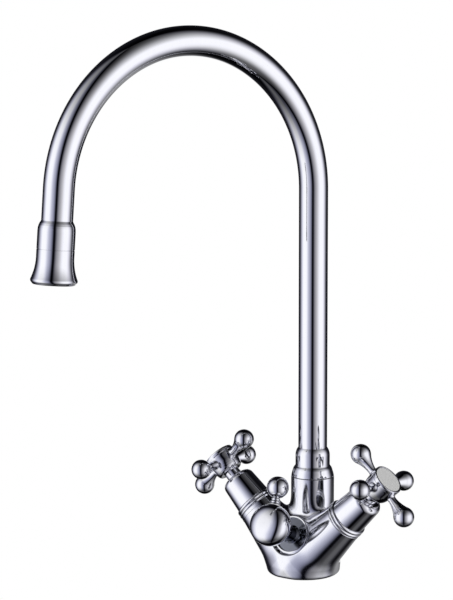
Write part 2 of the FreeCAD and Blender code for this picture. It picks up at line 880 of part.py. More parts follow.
def aerator_housing():
    """Moulded cup with a ring of holes in its floor and a sleeve for the filtered water's tube."""
    sleeve_bore = s.inner_tube_radius + s.running_gap
    sleeve = sleeve_bore + s.aerator_wall
    cup = aerator_radius - s.aerator_wall
    end = bell_ledge - 0.05
    floor = end - s.aerator_floor
    body = new_body("aerator_housing", NOZZLE)
    turn(
        body,
        [
            (cup, aerator_start), (aerator_radius, aerator_start), (aerator_radius, end), (sleeve_bore, end),
            (sleeve_bore, aerator_start + 3), (sleeve, aerator_start + 3), (sleeve, floor), (cup, floor),
        ],
    )
    middle = (cup + sleeve) / 2
    hole = primitive(
        body, "SubtractiveCylinder", "Hole", (middle, 0, floor - 1),
        Radius=s.aerator_hole_radius, Height=s.aerator_floor + 2,
    )
    ring_of(body, hole, 14)
    return body


def aerator_screen():
    """Steel screen that lies on the aerator's floor."""
    inner = s.inner_tube_radius + s.running_gap + s.aerator_wall + 0.1
    outer = aerator_radius - s.aerator_wall - 0.1
    end = screen_top + s.screen_thickness
    body = new_body("aerator_screen", NOZZLE)
    turn(body, [(inner, screen_top), (outer, screen_top), (outer, end), (inner, end)])
    for ring, count in enumerate((14, 20), start=1):
        hole = primitive(
            body, "SubtractiveCylinder", f"Mesh{ring}",
            (inner + (outer - inner) * ring / 3, 0, screen_top - 1),
            Radius=s.screen_hole_radius, Height=s.screen_thickness + 2,
        )
        ring_of(body, hole, count)
    return body


def inner_tube_tail():
    """Turned tail of the inner tube: it turns in the well at the bottom of the socket."""
    bottom = inner_tube_start - s.tail_groove_width - 1.5
    top = bottom + s.tail_height
    radius = s.well_radius - s.running_gap
    groove = bottom + 0.7
    floor = radius - s.tail_groove_depth
    bore = s.inner_tube_radius - s.inner_tube_wall - 0.4
    body = turned_part(
        "inner_tube_tail",
        SPOUT,
        [
            (bore, bottom), (radius, bottom), (radius, groove), (floor, groove),
            (floor, groove + s.tail_groove_width), (radius, groove + s.tail_groove_width), (radius, top),
            (s.inner_tube_radius, top), (s.inner_tube_radius, inner_tube_start),
            (bore, inner_tube_start),
        ],
    )
    section = (s.well_radius - floor) / 2 - s.seal_gap
    torus("inner_tube_o_ring", SPOUT, floor + section + s.seal_gap, section, groove + s.tail_groove_width / 2)
    return body


# Hot and cold valves
fixed_disc_start = chamber_floor + s.seat_washer_thickness
moving_disc_start = fixed_disc_start + s.disc_thickness + s.running_gap
coupling_start = moving_disc_start + s.disc_thickness
coupling_end = coupling_start + 2
housing_end = coupling_end + 0.4
spindle_bore = s.spindle_radius + s.running_gap
circlip_start = gland_top + s.running_gap
spindle_top = hub_top - s.index_thickness - s.screw_head_height - s.running_gap * 5


def bead_ring(label, axis):
    """Ring of two beads between the arm and the bonnet."""
    middle = s.arm_end_along + s.bead_ring_length * 0.47
    inner = s.headwork_flange_radius + 0.2
    return turned_part(
        label,
        axis,
        [
            (inner, s.arm_end_along),
            (s.bead_ring_radius, s.arm_end_along),
            (s.bead_ring_radius, middle, s.bead_round),
            (s.bead_ring_radius - 0.5, bead_end, s.bead_round * 1.3),
            (inner, bead_end),
        ],
    )


def bonnet(label, axis):
    """Chromed shroud over the valve's headwork."""
    hole = s.hub_tail_radius + 0.4
    return turned_part(
        label,
        axis,
        [
            (s.bonnet_root_radius - s.bonnet_wall, bead_end),
            (s.bonnet_root_radius, bead_end),
            (s.bonnet_top_radius, bonnet_shoulder),
            (s.bonnet_crown_radius, bonnet_top, s.bonnet_crown_round),
            (hole, bonnet_top),
            (hole, bonnet_top - s.bonnet_wall),
            (s.bonnet_crown_radius, bonnet_top - s.bonnet_wall),
            (s.bonnet_top_radius - s.bonnet_wall, bonnet_shoulder),
        ],
    )


def headwork(label, axis):
    """Brass headwork: disc housing, thread, flange, spanner hexagon and gland."""
    nose_start = chamber_floor + s.seat_washer_thickness / 2
    nose_end = housing_end + 0.3
    flange_end = s.arm_end_along + s.headwork_flange_thickness
    hexagon_end = flange_end + s.hexagon_length
    body = new_body(label, axis)
    turn(
        body,
        [
            (0, nose_start), (s.headwork_nose_radius, nose_start), (s.headwork_nose_radius, nose_end),
            (s.headwork_thread_radius, nose_end), (s.headwork_thread_radius, s.arm_end_along),
            (s.headwork_flange_radius, s.arm_end_along), (s.headwork_flange_radius, flange_end),
            (s.gland_radius, flange_end), (s.gland_radius, gland_top), (0, gland_top),
        ],
    )
    primitive(
        body, "AdditivePrism", "Hexagon", (0, 0, flange_end),
        Polygon=6, Circumradius=s.hexagon_radius, Height=hexagon_end - flange_end,
    )
    housing_bore = s.disc_radius + 0.2
    turn(
        body,
        [
            (0, nose_start - 1), (housing_bore, nose_start - 1), (housing_bore, housing_end),
            (spindle_bore, housing_end), (spindle_bore, gland_top + 1), (0, gland_top + 1),
        ],
        "Bore", "Groove",
    )
    width = s.disc_port_radius * 3
    primitive(
        body, "SubtractiveBox", "Windows", (-width / 2, -s.headwork_thread_radius, moving_disc_start + 0.3),
        Length=width, Width=s.headwork_thread_radius * 2, Height=s.disc_thickness,
    )
    return body


def washer(label, axis, inner, outer, start, thickness):
    """A plain flat ring."""
    end = start + thickness
    return turned_part(label, axis, [(inner, start), (outer, start), (outer, end), (inner, end)])


def ceramic_disc(label, axis, radius, thickness, start, port_radius, port_offset, quarter):
    """A ceramic disc with two ports, turned by a quarter turn or not."""
    body = new_body(label, axis.multiply(FreeCAD.Placement(FreeCAD.Vector(), FreeCAD.Rotation(UP, quarter))))
    turn(body, [(0, start), (radius, start), (radius, start + thickness), (0, start + thickness)])
    port = primitive(
        body, "SubtractiveCylinder", "Port", (port_offset, 0, start - 1),
        Radius=port_radius, Height=thickness + 2,
    )
    ring_of(body, port, 2)
    return body


def spindle(label, axis):
    """Valve spindle: coupling disc, seal groove, circlip groove and splined top."""
    body = new_body(label, axis)
    seal_start = gland_top - s.spindle_seal_depth
    seal_floor = s.spindle_radius - 1
    circlip_floor = s.spindle_radius - 0.9
    circlip_end = circlip_start + s.circlip_thickness
    turn(
        body,
        [
            (0, coupling_start), (s.disc_radius - 0.6, coupling_start), (s.disc_radius - 0.6, coupling_end),
            (s.spindle_radius, coupling_end), (s.spindle_radius, seal_start), (seal_floor, seal_start),
            (seal_floor, seal_start + 2), (s.spindle_radius, seal_start + 2),
            (s.spindle_radius, circlip_start), (circlip_floor, circlip_start), (circlip_floor, circlip_end),
            (s.spline_radius, circlip_end), (s.spline_radius, spindle_top), (0, spindle_top),
        ],
    )
    spline_start = hub_tail + 4
    tooth = primitive(
        body, "SubtractiveCylinder", "SplineGap", (s.spline_radius, 0, spline_start),
        Radius=s.spline_tooth_radius, Height=spindle_top - spline_start + 1,
    )
    ring_of(body, tooth, 12)
    primitive(
        body, "SubtractiveCylinder", "ScrewHole", (0, 0, spindle_top - s.screw_length),
        Radius=s.screw_radius, Height=s.screw_length + 1,
    )
    section = (spindle_bore - seal_floor) / 2 - s.seal_gap
    torus(label + "_o_ring", axis, seal_floor + section + s.seal_gap, section, seal_start + 1)
    return body


def circlip(label, axis):
    """Open spring ring that keeps the spindle in the headwork."""
    inner = s.spindle_radius - 0.85
    body = washer(label, axis, inner, inner + s.circlip_width, circlip_start, s.circlip_thickness)
    primitive(
        body, "SubtractiveBox", "Gap", (0, -inner / 2, circlip_start - 1),
        Length=s.spindle_radius * 2, Width=inner, Height=s.circlip_thickness + 2,
    )
    return body


def cross_arm(body):
    """One arm of the cross: a waisted stem that swells into a ball."""
    run = s.cross_reach - s.cross_neck_reach
    ball = s.cross_ball_radius
    neck = s.cross_neck_radius
    swell = (run * run + neck * neck - ball * ball) / ((ball - neck) * 2)
    share = ball / (swell + ball)
    sketch = new_sketch(body, "ArmOutline", "XY_Plane")
    sketch.AttachmentOffset = FreeCAD.Placement(UP * float(cross_middle), FreeCAD.Rotation())
    bind(sketch, "AttachmentOffset.Base.z", cross_middle)
    draw(
        sketch,
        [
            (s.hub_tail_radius, 0),
            (s.cross_reach + ball, 0),
            (s.cross_reach - run * share, (neck + swell) * share, ball),
            (s.cross_neck_reach, neck, -swell),
            (s.hub_tail_radius, neck),
        ],
    )
    arm = body.newObject("PartDesign::Revolution", "Arm")
    arm.Profile = sketch
    arm.ReferenceAxis = (sketch, ["H_Axis"])
    arm.Angle = 360
    return arm


def cross_handle(label, axis):
    """Cross handle: a bowl-shaped hub with a rim for the index disc, and four ball-ended arms."""
    body = new_body(label, axis)
    bore = s.spline_radius + s.running_gap
    pocket = s.screw_head_radius + 0.3
    seat = hub_top - s.index_thickness
    lip = s.hub_rim_radius - s.hub_lip_width
    turn(
        body,
        [
            (bore, hub_tail),
            (s.hub_tail_radius, hub_tail),
            (s.hub_tail_radius, hub_base),
            (s.hub_base_radius, hub_base),
            (s.hub_bowl_radius, hub_bowl, s.hub_bowl_round),
            (s.hub_rim_radius, hub_rim),
            (s.hub_rim_radius - 0.3, hub_top - 0.3, hub_top - hub_rim),
            (lip, hub_top),
            (lip - 0.3, hub_top),
            (lip - 0.3, seat),
            (pocket, seat),
            (pocket, spindle_top),
            (bore, spindle_top),
        ],
        "Hub",
    )
    ring_of(body, cross_arm(body), 4)
    return body


def index_disc(label, axis):
    """Plain pale disc in the top of the hub."""
    radius = s.hub_rim_radius - s.hub_lip_width - 0.3 - s.running_gap
    start = hub_top - s.index_thickness
    end = hub_top - 0.15
    return turned_part(
        label, axis, [(0, start), (radius, start), (radius, end - 0.25), (radius - 0.25, end), (0, end)]
    )


def handle_screw(label, axis):
    """Screw that holds the handle on the spindle."""
    body = new_body(label, axis)
    head_start = spindle_top
    head_end = head_start + s.screw_head_height
    tip = head_start - s.screw_length + 1
    turn(
        body,
        [
            (0, tip), (s.screw_radius, tip), (s.screw_radius, head_start), (s.screw_head_radius, head_start),
            (s.screw_head_radius, head_end - 0.4), (s.screw_head_radius - 0.8, head_end), (0, head_end),
        ],
    )
    primitive(
        body, "SubtractivePrism", "Socket", (0, 0, head_end - 1.3),
        Polygon=6, Circumradius=s.hexagon_socket_radius * 1.4, Height=Size(3),
    )
    return body


def side_valve(name, axis, handle_turn):
    """All the pieces of one arm, from the seat washer up to the handle."""
    bead_ring(name + "_bead_ring", axis)
    bonnet(name + "_bonnet", axis)
    headwork(name + "_headwork", axis)
    washer(
        name + "_seat_washer", axis, s.disc_port_offset + 0.4, s.disc_radius, chamber_floor,
        s.seat_washer_thickness,
    )
    discs = ((name + "_fixed_disc", fixed_disc_start, 0), (name + "_moving_disc", moving_disc_start, 90))
    for label, start, quarter in discs:
        ceramic_disc(
            label, axis, s.disc_radius, s.disc_thickness, start, s.disc_port_radius,
            s.disc_port_offset, quarter,
        )
    spindle(name + "_spindle", axis)
    circlip(name + "_circlip", axis)
    turned_axis = axis.multiply(FreeCAD.Placement(FreeCAD.Vector(), FreeCAD.Rotation(UP, -handle_turn)))
    cross_handle(name + "_cross_handle", turned_axis)
    index_disc(name + "_index_disc", turned_axis)
    handle_screw(name + "_handle_screw", turned_axis)


# Filter valve
filter_seat = filter_chamber_floor + s.filter_washer_thickness
filter_moving = filter_seat + s.filter_disc_thickness + s.running_gap
filter_coupling = filter_moving + s.filter_disc_thickness
filter_coupling_end = filter_coupling + 1.5
filter_housing_end = filter_coupling_end + 0.4
filter_bore = s.filter_spindle_radius + s.running_gap


def filter_bonnet():
    """Filter valve's headwork: disc housing, thread, polished flange and slim neck."""
    body = new_body("filter_bonnet", FILTER)
    flange_radius = s.boss_rim_radius - s.boss_lip_width - s.running_gap * 2
    nose = s.filter_chamber_radius - 0.4
    housing_bore = s.filter_disc_radius + 0.2
    nose_start = filter_seat - 0.6
    turn(
        body,
        [
            (housing_bore, nose_start), (nose, nose_start), (nose, filter_housing_end),
            (s.filter_thread_radius, filter_housing_end), (s.filter_thread_radius, recess_floor),
            (flange_radius, recess_floor), (flange_radius, filter_flange_end - 0.4),
            (flange_radius - 0.4, filter_flange_end), (s.filter_neck_radius + 1, filter_flange_end),
            (s.filter_neck_radius, filter_flange_end + 1, -Size(1.05)),
            (s.filter_neck_radius, filter_neck_end - 0.3), (s.filter_neck_radius - 0.3, filter_neck_end),
            (filter_bore, filter_neck_end), (filter_bore, filter_housing_end),
            (housing_bore, filter_housing_end),
        ],
    )
    width = s.filter_port_radius * 3
    primitive(
        body, "SubtractiveBox", "Windows", (-width / 2, -s.filter_chamber_radius, filter_moving - 0.4),
        Length=width, Width=s.filter_chamber_radius * 2, Height=s.filter_disc_thickness,
    )
    return body


def filter_spindle():
    """Filter valve's spindle, from its coupling disc into the knob."""
    seal_start = s.boss_rim_along
    seal_floor = s.filter_spindle_radius - 0.9
    top = knob_centre + s.spindle_engagement
    turned_part(
        "filter_spindle",
        LEVER_SIDE,
        [
            (0, filter_coupling), (s.filter_disc_radius - 0.4, filter_coupling),
            (s.filter_disc_radius - 0.4, filter_coupling_end), (s.filter_spindle_radius, filter_coupling_end),
            (s.filter_spindle_radius, seal_start), (seal_floor, seal_start), (seal_floor, seal_start + 1.8),
            (s.filter_spindle_radius, seal_start + 1.8), (s.filter_spindle_radius, top), (0, top),
        ],
    )
    section = (filter_bore - seal_floor) / 2 - s.seal_gap
    torus("filter_spindle_o_ring", LEVER_SIDE, seal_floor + section + s.seal_gap, section, seal_start + 0.9)


def filter_knob():
    """Round knob with a flatter front, a seat for the lever on top and a screw hole opposite."""
    body = new_body("filter_knob", LEVER_SIDE)
    centre, depth, shoulder = knob_centre, s.knob_front_depth, s.knob_shoulder_round
    squares = knob_inset * knob_inset + depth * depth - shoulder * shoulder
    crown = squares / ((depth - shoulder) * 2)
    meet_radius = crown * knob_inset / (crown - shoulder)
    meet_height = depth - crown * (depth - shoulder) / (crown - shoulder)
    pocket = s.knob_pocket_radius
    back_radius = pocket + 0.4
    back = centre - ball_meets(back_radius, s.knob_radius)
    bore_end = centre + s.spindle_engagement
    turn(
        body,
        [
            (pocket, back), (back_radius, back), (s.knob_radius, centre, s.knob_radius),
            (meet_radius, centre + meet_height, shoulder), (0, centre + depth, crown),
            (0, bore_end), (s.filter_spindle_radius, bore_end),
            (s.filter_spindle_radius, filter_neck_end + 0.6),
            (pocket, filter_neck_end + 0.6),
        ],
    )
    outward = FreeCAD.Rotation(BACK, 90)
    inward = FreeCAD.Rotation(BACK, -90)
    primitive(
        body, "SubtractiveCylinder", "LeverHole", (s.filter_spindle_radius, 0, centre), outward,
        Radius=s.lever_stem_radius, Height=s.knob_radius,
    )
    primitive(
        body, "SubtractiveCylinder", "LeverSeat", (lever_seat, 0, centre), outward,
        Radius=s.lever_collar_radius + 0.1, Height=Size(5),
    )
    primitive(
        body, "SubtractiveCylinder", "ScrewHole", (-s.filter_spindle_radius, 0, centre), inward,
        Radius=s.set_screw_radius, Height=s.knob_radius,
    )
    return body


lever_seat = knob_inset + ball_meets(s.lever_collar_radius + 0.1, s.knob_shoulder_round) - 0.15


def filter_lever():
    """Lever with a collar, two beads and a ball, screwed into the knob."""
    neck = s.lever_neck_radius
    ball = s.lever_ball_radius
    bead = s.lever_bead_radius
    collar_end = lever_seat + 1.2
    first_bead_end = collar_end + 2
    second_bead_end = first_bead_end + 1.8
    ball_start = second_bead_end + s.lever_neck_length
    ball_end = ball_start + ball_meets(neck, ball) + ball
    return turned_part(
        "filter_lever",
        across(LEVER_SIDE, knob_centre),
        [
            (0, s.filter_spindle_radius + 1.5),
            (s.lever_stem_radius, s.filter_spindle_radius + 1.5),
            (s.lever_stem_radius, lever_seat),
            (s.lever_collar_radius, lever_seat),
            (s.lever_collar_radius, collar_end - 0.3),
            (s.lever_collar_radius - 0.3, collar_end),
            (bead, collar_end),
            (bead, first_bead_end, Size(1.1)),
            (neck, second_bead_end, Size(1.05)),
            (neck, ball_start),
            (0, ball_end, ball),
        ],
    )


def filter_valve():
    """All the pieces of the filter valve."""
    filter_bonnet()
    washer(
        "filter_seat_washer", FILTER, s.filter_passage_radius + 0.3, s.filter_disc_radius,
        filter_chamber_floor, s.filter_washer_thickness,
    )
    discs = (
        ("filter_fixed_disc", FILTER, filter_seat, 0),
        ("filter_moving_disc", LEVER_SIDE, filter_moving, -s.lever_turn),
    )
    for label, axis, start, quarter in discs:
        ceramic_disc(
            label, axis, s.filter_disc_radius, s.filter_disc_thickness, start, s.filter_port_radius,
            s.filter_port_offset, quarter,
        )
    filter_spindle()
    filter_knob()
    filter_lever()
    set_screw(
        "filter_knob_screw", across(LEVER_SIDE, knob_centre, -1),
        s.filter_spindle_radius, Size(0.8), s.set_screw_radius * 0.7,
    )


def build():
    """Make every sub-part."""
    body_casting()
    foot_seal()
    glide_washer()
    spout_lock_screw()
    bent_tube("spout_tube", stem_top, s.leg_length, s.tube_radius, s.tube_wall)
    spout_collar()
    spout_stem()
    spout_seals()
    nozzle_ferrule()
    nozzle_bell()
    aerator_washer()
    aerator_housing()
    aerator_screen()
    inner_leg = bell_ledge - 0.1
    bent_tube(
        "filter_inner_tube", inner_tube_start, inner_leg, s.inner_tube_radius, s.inner_tube_wall
    )
    inner_tube_tail()
    side_valve("hot", HOT_ARM, s.hot_handle_turn)
    side_valve("cold", COLD_ARM, s.cold_handle_turn)
    filter_valve()
    document.recompute()


def sub_parts():
    """The finished sub-parts, which are the labelled solids that nothing else is built from."""
    kinds = ("PartDesign::Body", "Part::Torus", "Part::Cut")
    return [item for item in document.Objects if item.TypeId in kinds and not used_by_solid(item)]


def used_by_solid(item):
    """Whether another solid is made from this one."""
    return any(user.TypeId.startswith("Part::") for user in item.InList)


def check_all():
    """Stop if any object failed or any sub-part is not a valid solid."""
    for item in document.Objects:
        if "Invalid" in item.State or "Error" in item.State:
            raise RuntimeError(f"{item.Name} failed: {item.State}")
    for item in sub_parts():
        shape = item.Shape
        if shape.isNull() or not shape.isValid() or len(shape.Solids) != 1 or shape.Volume <= 0:
            raise RuntimeError(f"{item.Label} is not one valid solid")


def write_all():
    """Write each sub-part to its own file."""
    os.makedirs("parts", exist_ok=True)
    for item in sub_parts():
        item.Shape.exportStep(f"parts/{item.Label}.step")
        print(f"{item.Label}: volume {item.Shape.Volume:.0f} mm3")


build()
check_all()
write_all()
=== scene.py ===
"""Polished looks of the kitchen filter mixer tap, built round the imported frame.

Sizes are millimetres in the row frame until a mesh is made: origin at the centre of the foot's
underside, +Z up, -Y the front and +X the user's right. Every chromed outside is a smooth mesh of
its own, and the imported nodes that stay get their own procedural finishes.
"""
import json
import logging
import math
from dataclasses import dataclass
from enum import Enum
from itertools import product
from typing import ClassVar, Sequence

import bpy
import numpy as np
from mathutils import Matrix, Vector


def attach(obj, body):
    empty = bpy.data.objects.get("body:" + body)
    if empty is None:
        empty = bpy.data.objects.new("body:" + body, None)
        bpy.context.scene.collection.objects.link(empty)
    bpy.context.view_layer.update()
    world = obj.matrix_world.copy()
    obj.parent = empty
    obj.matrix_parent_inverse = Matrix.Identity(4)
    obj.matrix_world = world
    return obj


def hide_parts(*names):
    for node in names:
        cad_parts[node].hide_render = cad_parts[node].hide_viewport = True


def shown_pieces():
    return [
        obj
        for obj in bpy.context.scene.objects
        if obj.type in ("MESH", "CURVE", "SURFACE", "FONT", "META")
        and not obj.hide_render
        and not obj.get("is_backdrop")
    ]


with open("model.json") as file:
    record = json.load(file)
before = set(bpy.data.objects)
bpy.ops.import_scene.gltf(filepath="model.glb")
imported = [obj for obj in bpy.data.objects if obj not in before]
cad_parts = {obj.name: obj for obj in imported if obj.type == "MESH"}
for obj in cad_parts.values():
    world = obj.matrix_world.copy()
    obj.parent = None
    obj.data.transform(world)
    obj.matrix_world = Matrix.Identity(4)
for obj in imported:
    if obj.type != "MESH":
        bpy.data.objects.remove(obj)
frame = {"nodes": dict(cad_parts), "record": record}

MM = 0.001
TINY = 1e-9
SHARP_ANGLE = math.radians(32)
EASED_SHARE = 0.49  # how much of a straight stretch one rounding may take up
log = logging.getLogger("tap")
Corner = tuple[float, ...]
Triple = tuple[float, float, float]
Rows = tuple[tuple[float, float], ...]
Socket = bpy.types.NodeSocket


class Slot(Enum):
    """Material slots of the record."""

    CHROME = "polished_chrome"
    BRASS = "brass"
    STEEL = "stainless_steel"
    RUBBER = "rubber"
    CERAMIC = "ceramic"
    INDEX = "index_disc"
    SLIDE = "slide_plastic"
    AERATOR = "aerator_plastic"
    TUBE = "tube_plastic"


class Effect(Enum):
    """Patterns that finishes share: the value names the node group and the method that fills it."""

    POLISH = "polish"
    TURNING = "turning"
    GRAIN = "grain"


class Side(Enum):
    """The two arms: the number is the side of the tap's middle that the arm leans to."""

    HOT = -1
    COLD = 1

    @property
    def prefix(self) -> str:
        """First word of the names of this side's nodes and pieces."""
        return self.name.lower()

    @property
    def body(self) -> str:
        """The moving body of this side's handle."""
        return f"{self.prefix}_handle"


# Frames of the tap's axes


def place(x: float = 0.0, y: float = 0.0, z: float = 0.0) -> Matrix:
    """A move without a turn."""
    return Matrix.Translation((x, y, z))


def turned_by(degrees: float, axis: str) -> Matrix:
    """A turn about one of the frame's own axes."""
    return Matrix.Rotation(math.radians(degrees), 4, axis)


@dataclass(frozen=True)
class Layout:
    """Where the tap's axes stand, as the frame has them."""

    arm_plane: float = -4.4
    arm_apex: float = 7.25
    arm_tilt: float = 46.0
    column_offset: float = 9.75
    spout_turn: float = 19.75
    bend_radius: float = 94.64
    bend_start: float = 252.5
    bend_angle: float = 175.6
    filter_tilt: float = 25.0
    rim_front: float = -16.05
    rim_height: float = 28.4
    rim_along: float = 20.0
    lever_turn: float = 5.3

    def arm(self, side: Side) -> Matrix:
        """Frame of one arm, with Z along the arm from the apex of the V."""
        return place(0, self.arm_plane, self.arm_apex) @ turned_by(side.value * self.arm_tilt, "Y")

    @property
    def column(self) -> Matrix:
        """Frame of the upright column, with X towards the spout's reach."""
        return place(0, self.column_offset) @ turned_by(-90 - self.spout_turn, "Z")

    @property
    def bend_end(self) -> tuple[float, float]:
        """Where the spout's bend ends.

        Returns:
            Its reach from the column's axis and its height.
        """
        angle = math.radians(self.bend_angle)
        reach = self.bend_radius * (1 - math.cos(angle))
        return reach, self.bend_start + self.bend_radius * math.sin(angle)

    @property
    def nozzle(self) -> Matrix:
        """Frame of the spout's leg, with Z down the leg from the end of the bend."""
        reach, height = self.bend_end
        return self.column @ place(reach, 0, height) @ turned_by(self.bend_angle, "Y")

    @property
    def filter(self) -> Matrix:
        """Frame of the filter valve, with Z out of the boss; its rim is at rim_along."""
        rim = place(0, self.rim_front, self.rim_height)
        return rim @ turned_by(90 - self.filter_tilt, "X") @ place(0, 0, -self.rim_along)

    @property
    def lever_side(self) -> Matrix:
        """Frame of the filter valve's moving parts, with X along the lever."""
        return self.filter @ turned_by(90 + self.lever_turn, "Z")


LAYOUT = Layout()


# Finishes

# Stretches of an effect's marks, from 0 to 1, over which the tone and the gloss change
TONE_SPAN = 0.3, 0.75
GLOSS_SPAN = 0.35, 0.7


class NodeCanvas:
    """A node tree that is filled by short calls."""

    def __init__(self, tree: bpy.types.NodeTree) -> None:
        """Take the tree to fill."""
        self.tree = tree

    def add(self, kind: str, **settings: object) -> bpy.types.Node:
        """Add a node.

        Args:
            kind: Node type, without the leading "ShaderNode".
            settings: Properties of the node, or values for its inputs, by name.

        Returns:
            The new node.
        """
        node = self.tree.nodes.new("ShaderNode" + kind)
        for name, value in settings.items():
            if hasattr(node, name):
                setattr(node, name, value)
            else:
                node.inputs[name.replace("_", " ")].default_value = value
        return node

    def link(self, source: Socket, target: Socket) -> None:
        """Join an output to an input."""
        self.tree.links.new(source, target)

    def worked(self, kind: str, *values: object, **settings: object) -> Socket:
        """Add a node that works something out.

        Args:
            kind: Node type, as for add().
            values: Numbers, colours or sockets for the inputs that the node uses, in order.
            settings: As for add().

        Returns:
            The node's result.
        """
        node = self.add(kind, **settings)
        for socket, value in zip([socket for socket in node.inputs if socket.enabled], values):
            if isinstance(value, Socket):
                self.link(value, socket)
            else:
                socket.default_value = value
        return next(socket for socket in node.outputs if socket.enabled)

    def math(self, operation: str, *values: object) -> Socket:
        """Result of a math node whose inputs are numbers or sockets."""
        return self.worked("Math", *values, operation=operation)

    def vector(self, operation: str, *values: object) -> Socket:
        """Result of a vector math node whose inputs are vectors, numbers or sockets."""
        return self.worked("VectorMath", *values, operation=operation)

    def blend(self, first: Socket, share: float, second: Socket, rest: float) -> Socket:
        """Sum of two values, each with its own weight."""
        return self.math("MULTIPLY_ADD", first, share, self.math("MULTIPLY", second, rest))

    def noise(self, where: Socket, scale: float, detail: float, roughness: float = 0.5) -> Socket:
        """Value of a noise texture."""
        return self.worked("TexNoise", where, Scale=scale, Detail=detail, Roughness=roughness)

    def for_camera(self, plain: Socket, seen: Socket) -> Socket:
        """A shader that is "seen" to the camera and "plain" to the light."""
        return self.worked("MixShader", self.add("LightPath").outputs["Is Camera Ray"], plain, seen)

    def ramp(self, fac: Socket, stops: Sequence[tuple[float, Triple]]) -> Socket:
        """Add a colour ramp.

        Args:
            fac: What moves along the ramp.
            stops: (position, rgb) rows, at most 32.

        Returns:
            The ramp's colour.
        """
        node = self.add("ValToRGB")
        elements = node.color_ramp.elements
        while len(elements) < len(stops):
            elements.new(0.5)
        for element, (position, _) in zip(elements, stops):
            element.position = position
        for element, (_, colour) in zip(elements, stops):
            element.color = (*colour, 1)
        self.link(fac, node.inputs[0])
        return node.outputs[0]


class SharedEffects:
    """Node groups that several finishes use. Each gives values from 0 to 1 that vary over the surface."""

    _made: ClassVar[dict[Effect, bpy.types.NodeTree]] = {}

    @classmethod
    def group(cls, effect: Effect) -> bpy.types.NodeTree:
        """Make an effect's group on its first use. Its input "Fineness" scales the pattern.

        Args:
            effect: Which effect.

        Returns:
            The node group.
        """
        if effect not in cls._made:
            tree = bpy.data.node_groups.new(effect.value, "ShaderNodeTree")
            fineness = tree.interface.new_socket("Fineness", in_out="INPUT", socket_type="NodeSocketFloat")
            fineness.default_value = 1.0
            canvas = NodeCanvas(tree)
            scale = tree.nodes.new("NodeGroupInput").outputs["Fineness"]
            where = canvas.vector("SCALE", canvas.add("TexCoord").outputs["Object"], scale)
            outputs = getattr(cls, effect.value)(canvas, where)
            for name in outputs:
                tree.interface.new_socket(name, in_out="OUTPUT", socket_type="NodeSocketFloat")
            end = tree.nodes.new("NodeGroupOutput")
            for name, socket in outputs.items():
                canvas.link(socket, end.inputs[name])
            cls._made[effect] = tree
        return cls._made[effect]

    @staticmethod
    def polish(canvas: NodeCanvas, where: Socket) -> dict[str, Socket]:
        """Faint wiping marks, and the long soft waves of a buffed surface."""
        scratch = canvas.noise(canvas.vector("MULTIPLY", where, (1, 1, 0.06)), 900, 2)
        return {"Marks": canvas.blend(scratch, 0.35, canvas.noise(where, 38, 3, 0.55), 0.65),
                "Waves": canvas.noise(where, 55, 1)}

    @staticmethod
    def turning(canvas: NodeCanvas, where: Socket) -> dict[str, Socket]:
        """Fine rings and scatter of a machined surface."""
        wave = canvas.worked("TexWave", where, Scale=420, Distortion=1.5, bands_direction="Z").node
        return {"Rings": canvas.blend(wave.outputs["Fac"], 0.5, canvas.noise(where, 2600, 2), 0.5)}

    @staticmethod
    def grain(canvas: NodeCanvas, where: Socket) -> dict[str, Socket]:
        """The fine even grain of a moulded surface, with a slow change of tone."""
        return {"Grain": canvas.noise(where, 3200, 3), "Tone": canvas.noise(where, 90, 2)}


def new_material(name: str) -> tuple[bpy.types.Material, NodeCanvas, bpy.types.Node]:
    """Make a material with nodes.

    Args:
        name: Name of the material.

    Returns:
        The material, its canvas and its Principled shader.
    """
    material = bpy.data.materials.new(name)
    material.use_nodes = True
    return material, NodeCanvas(material.node_tree), material.node_tree.nodes["Principled BSDF"]


@dataclass(frozen=True)
class Finish:
    """A procedural finish: a metal or not, with marks that change its gloss, tone and relief.

    Attributes:
        slot: Material slot of the record.
        name: Name of the material.
        colour: Base colour, linear.
        darker: Base colour where the marks are strongest.
        gloss: Roughness where the surface is cleanest.
        marked: Roughness where the marks are strongest.
        metal: 1 for a metal, 0 otherwise.
        relief: Height of the relief, in metres.
        effect: The shared effect that makes the marks.
        specular: Strength of the mirror light on what isn't metal.
        fineness: How fine the effect's pattern is, 1 for its plain size.
    """

    slot: Slot
    name: str
    colour: Triple
    darker: Triple
    gloss: float
    marked: float
    metal: float = 1.0
    relief: float = 0.0
    effect: Effect = Effect.POLISH
    specular: float = 0.5
    fineness: float = 1.0

    def material(self) -> bpy.types.Material:
        """Make the Blender material on its first use.

        Returns:
            The material.
        """
        if self.name in bpy.data.materials:
            return bpy.data.materials[self.name]
        material, canvas, shader = new_material(self.name)
        material.diffuse_color = (*self.colour, 1)
        shader.inputs["Metallic"].default_value = self.metal
        shader.inputs["Specular IOR Level"].default_value = self.specular
        effect = material.node_tree.nodes.new("ShaderNodeGroup")
        effect.node_tree = SharedEffects.group(self.effect)
        effect.inputs["Fineness"].default_value = self.fineness
        mark, relief = effect.outputs[0], effect.outputs[-1]
        colour = canvas.ramp(mark, list(zip(TONE_SPAN, (self.colour, self.darker))))
        canvas.link(colour, shader.inputs["Base Color"])
        spread = canvas.worked("MapRange", mark, *GLOSS_SPAN, self.gloss, self.marked)
        canvas.link(spread, shader.inputs["Roughness"])
        if self.relief:
            bump = canvas.add("Bump", Distance=self.relief, Strength=1.0)
            canvas.link(relief, bump.inputs["Height"])
            canvas.link(bump.outputs[0], shader.inputs["Normal"])
        return material


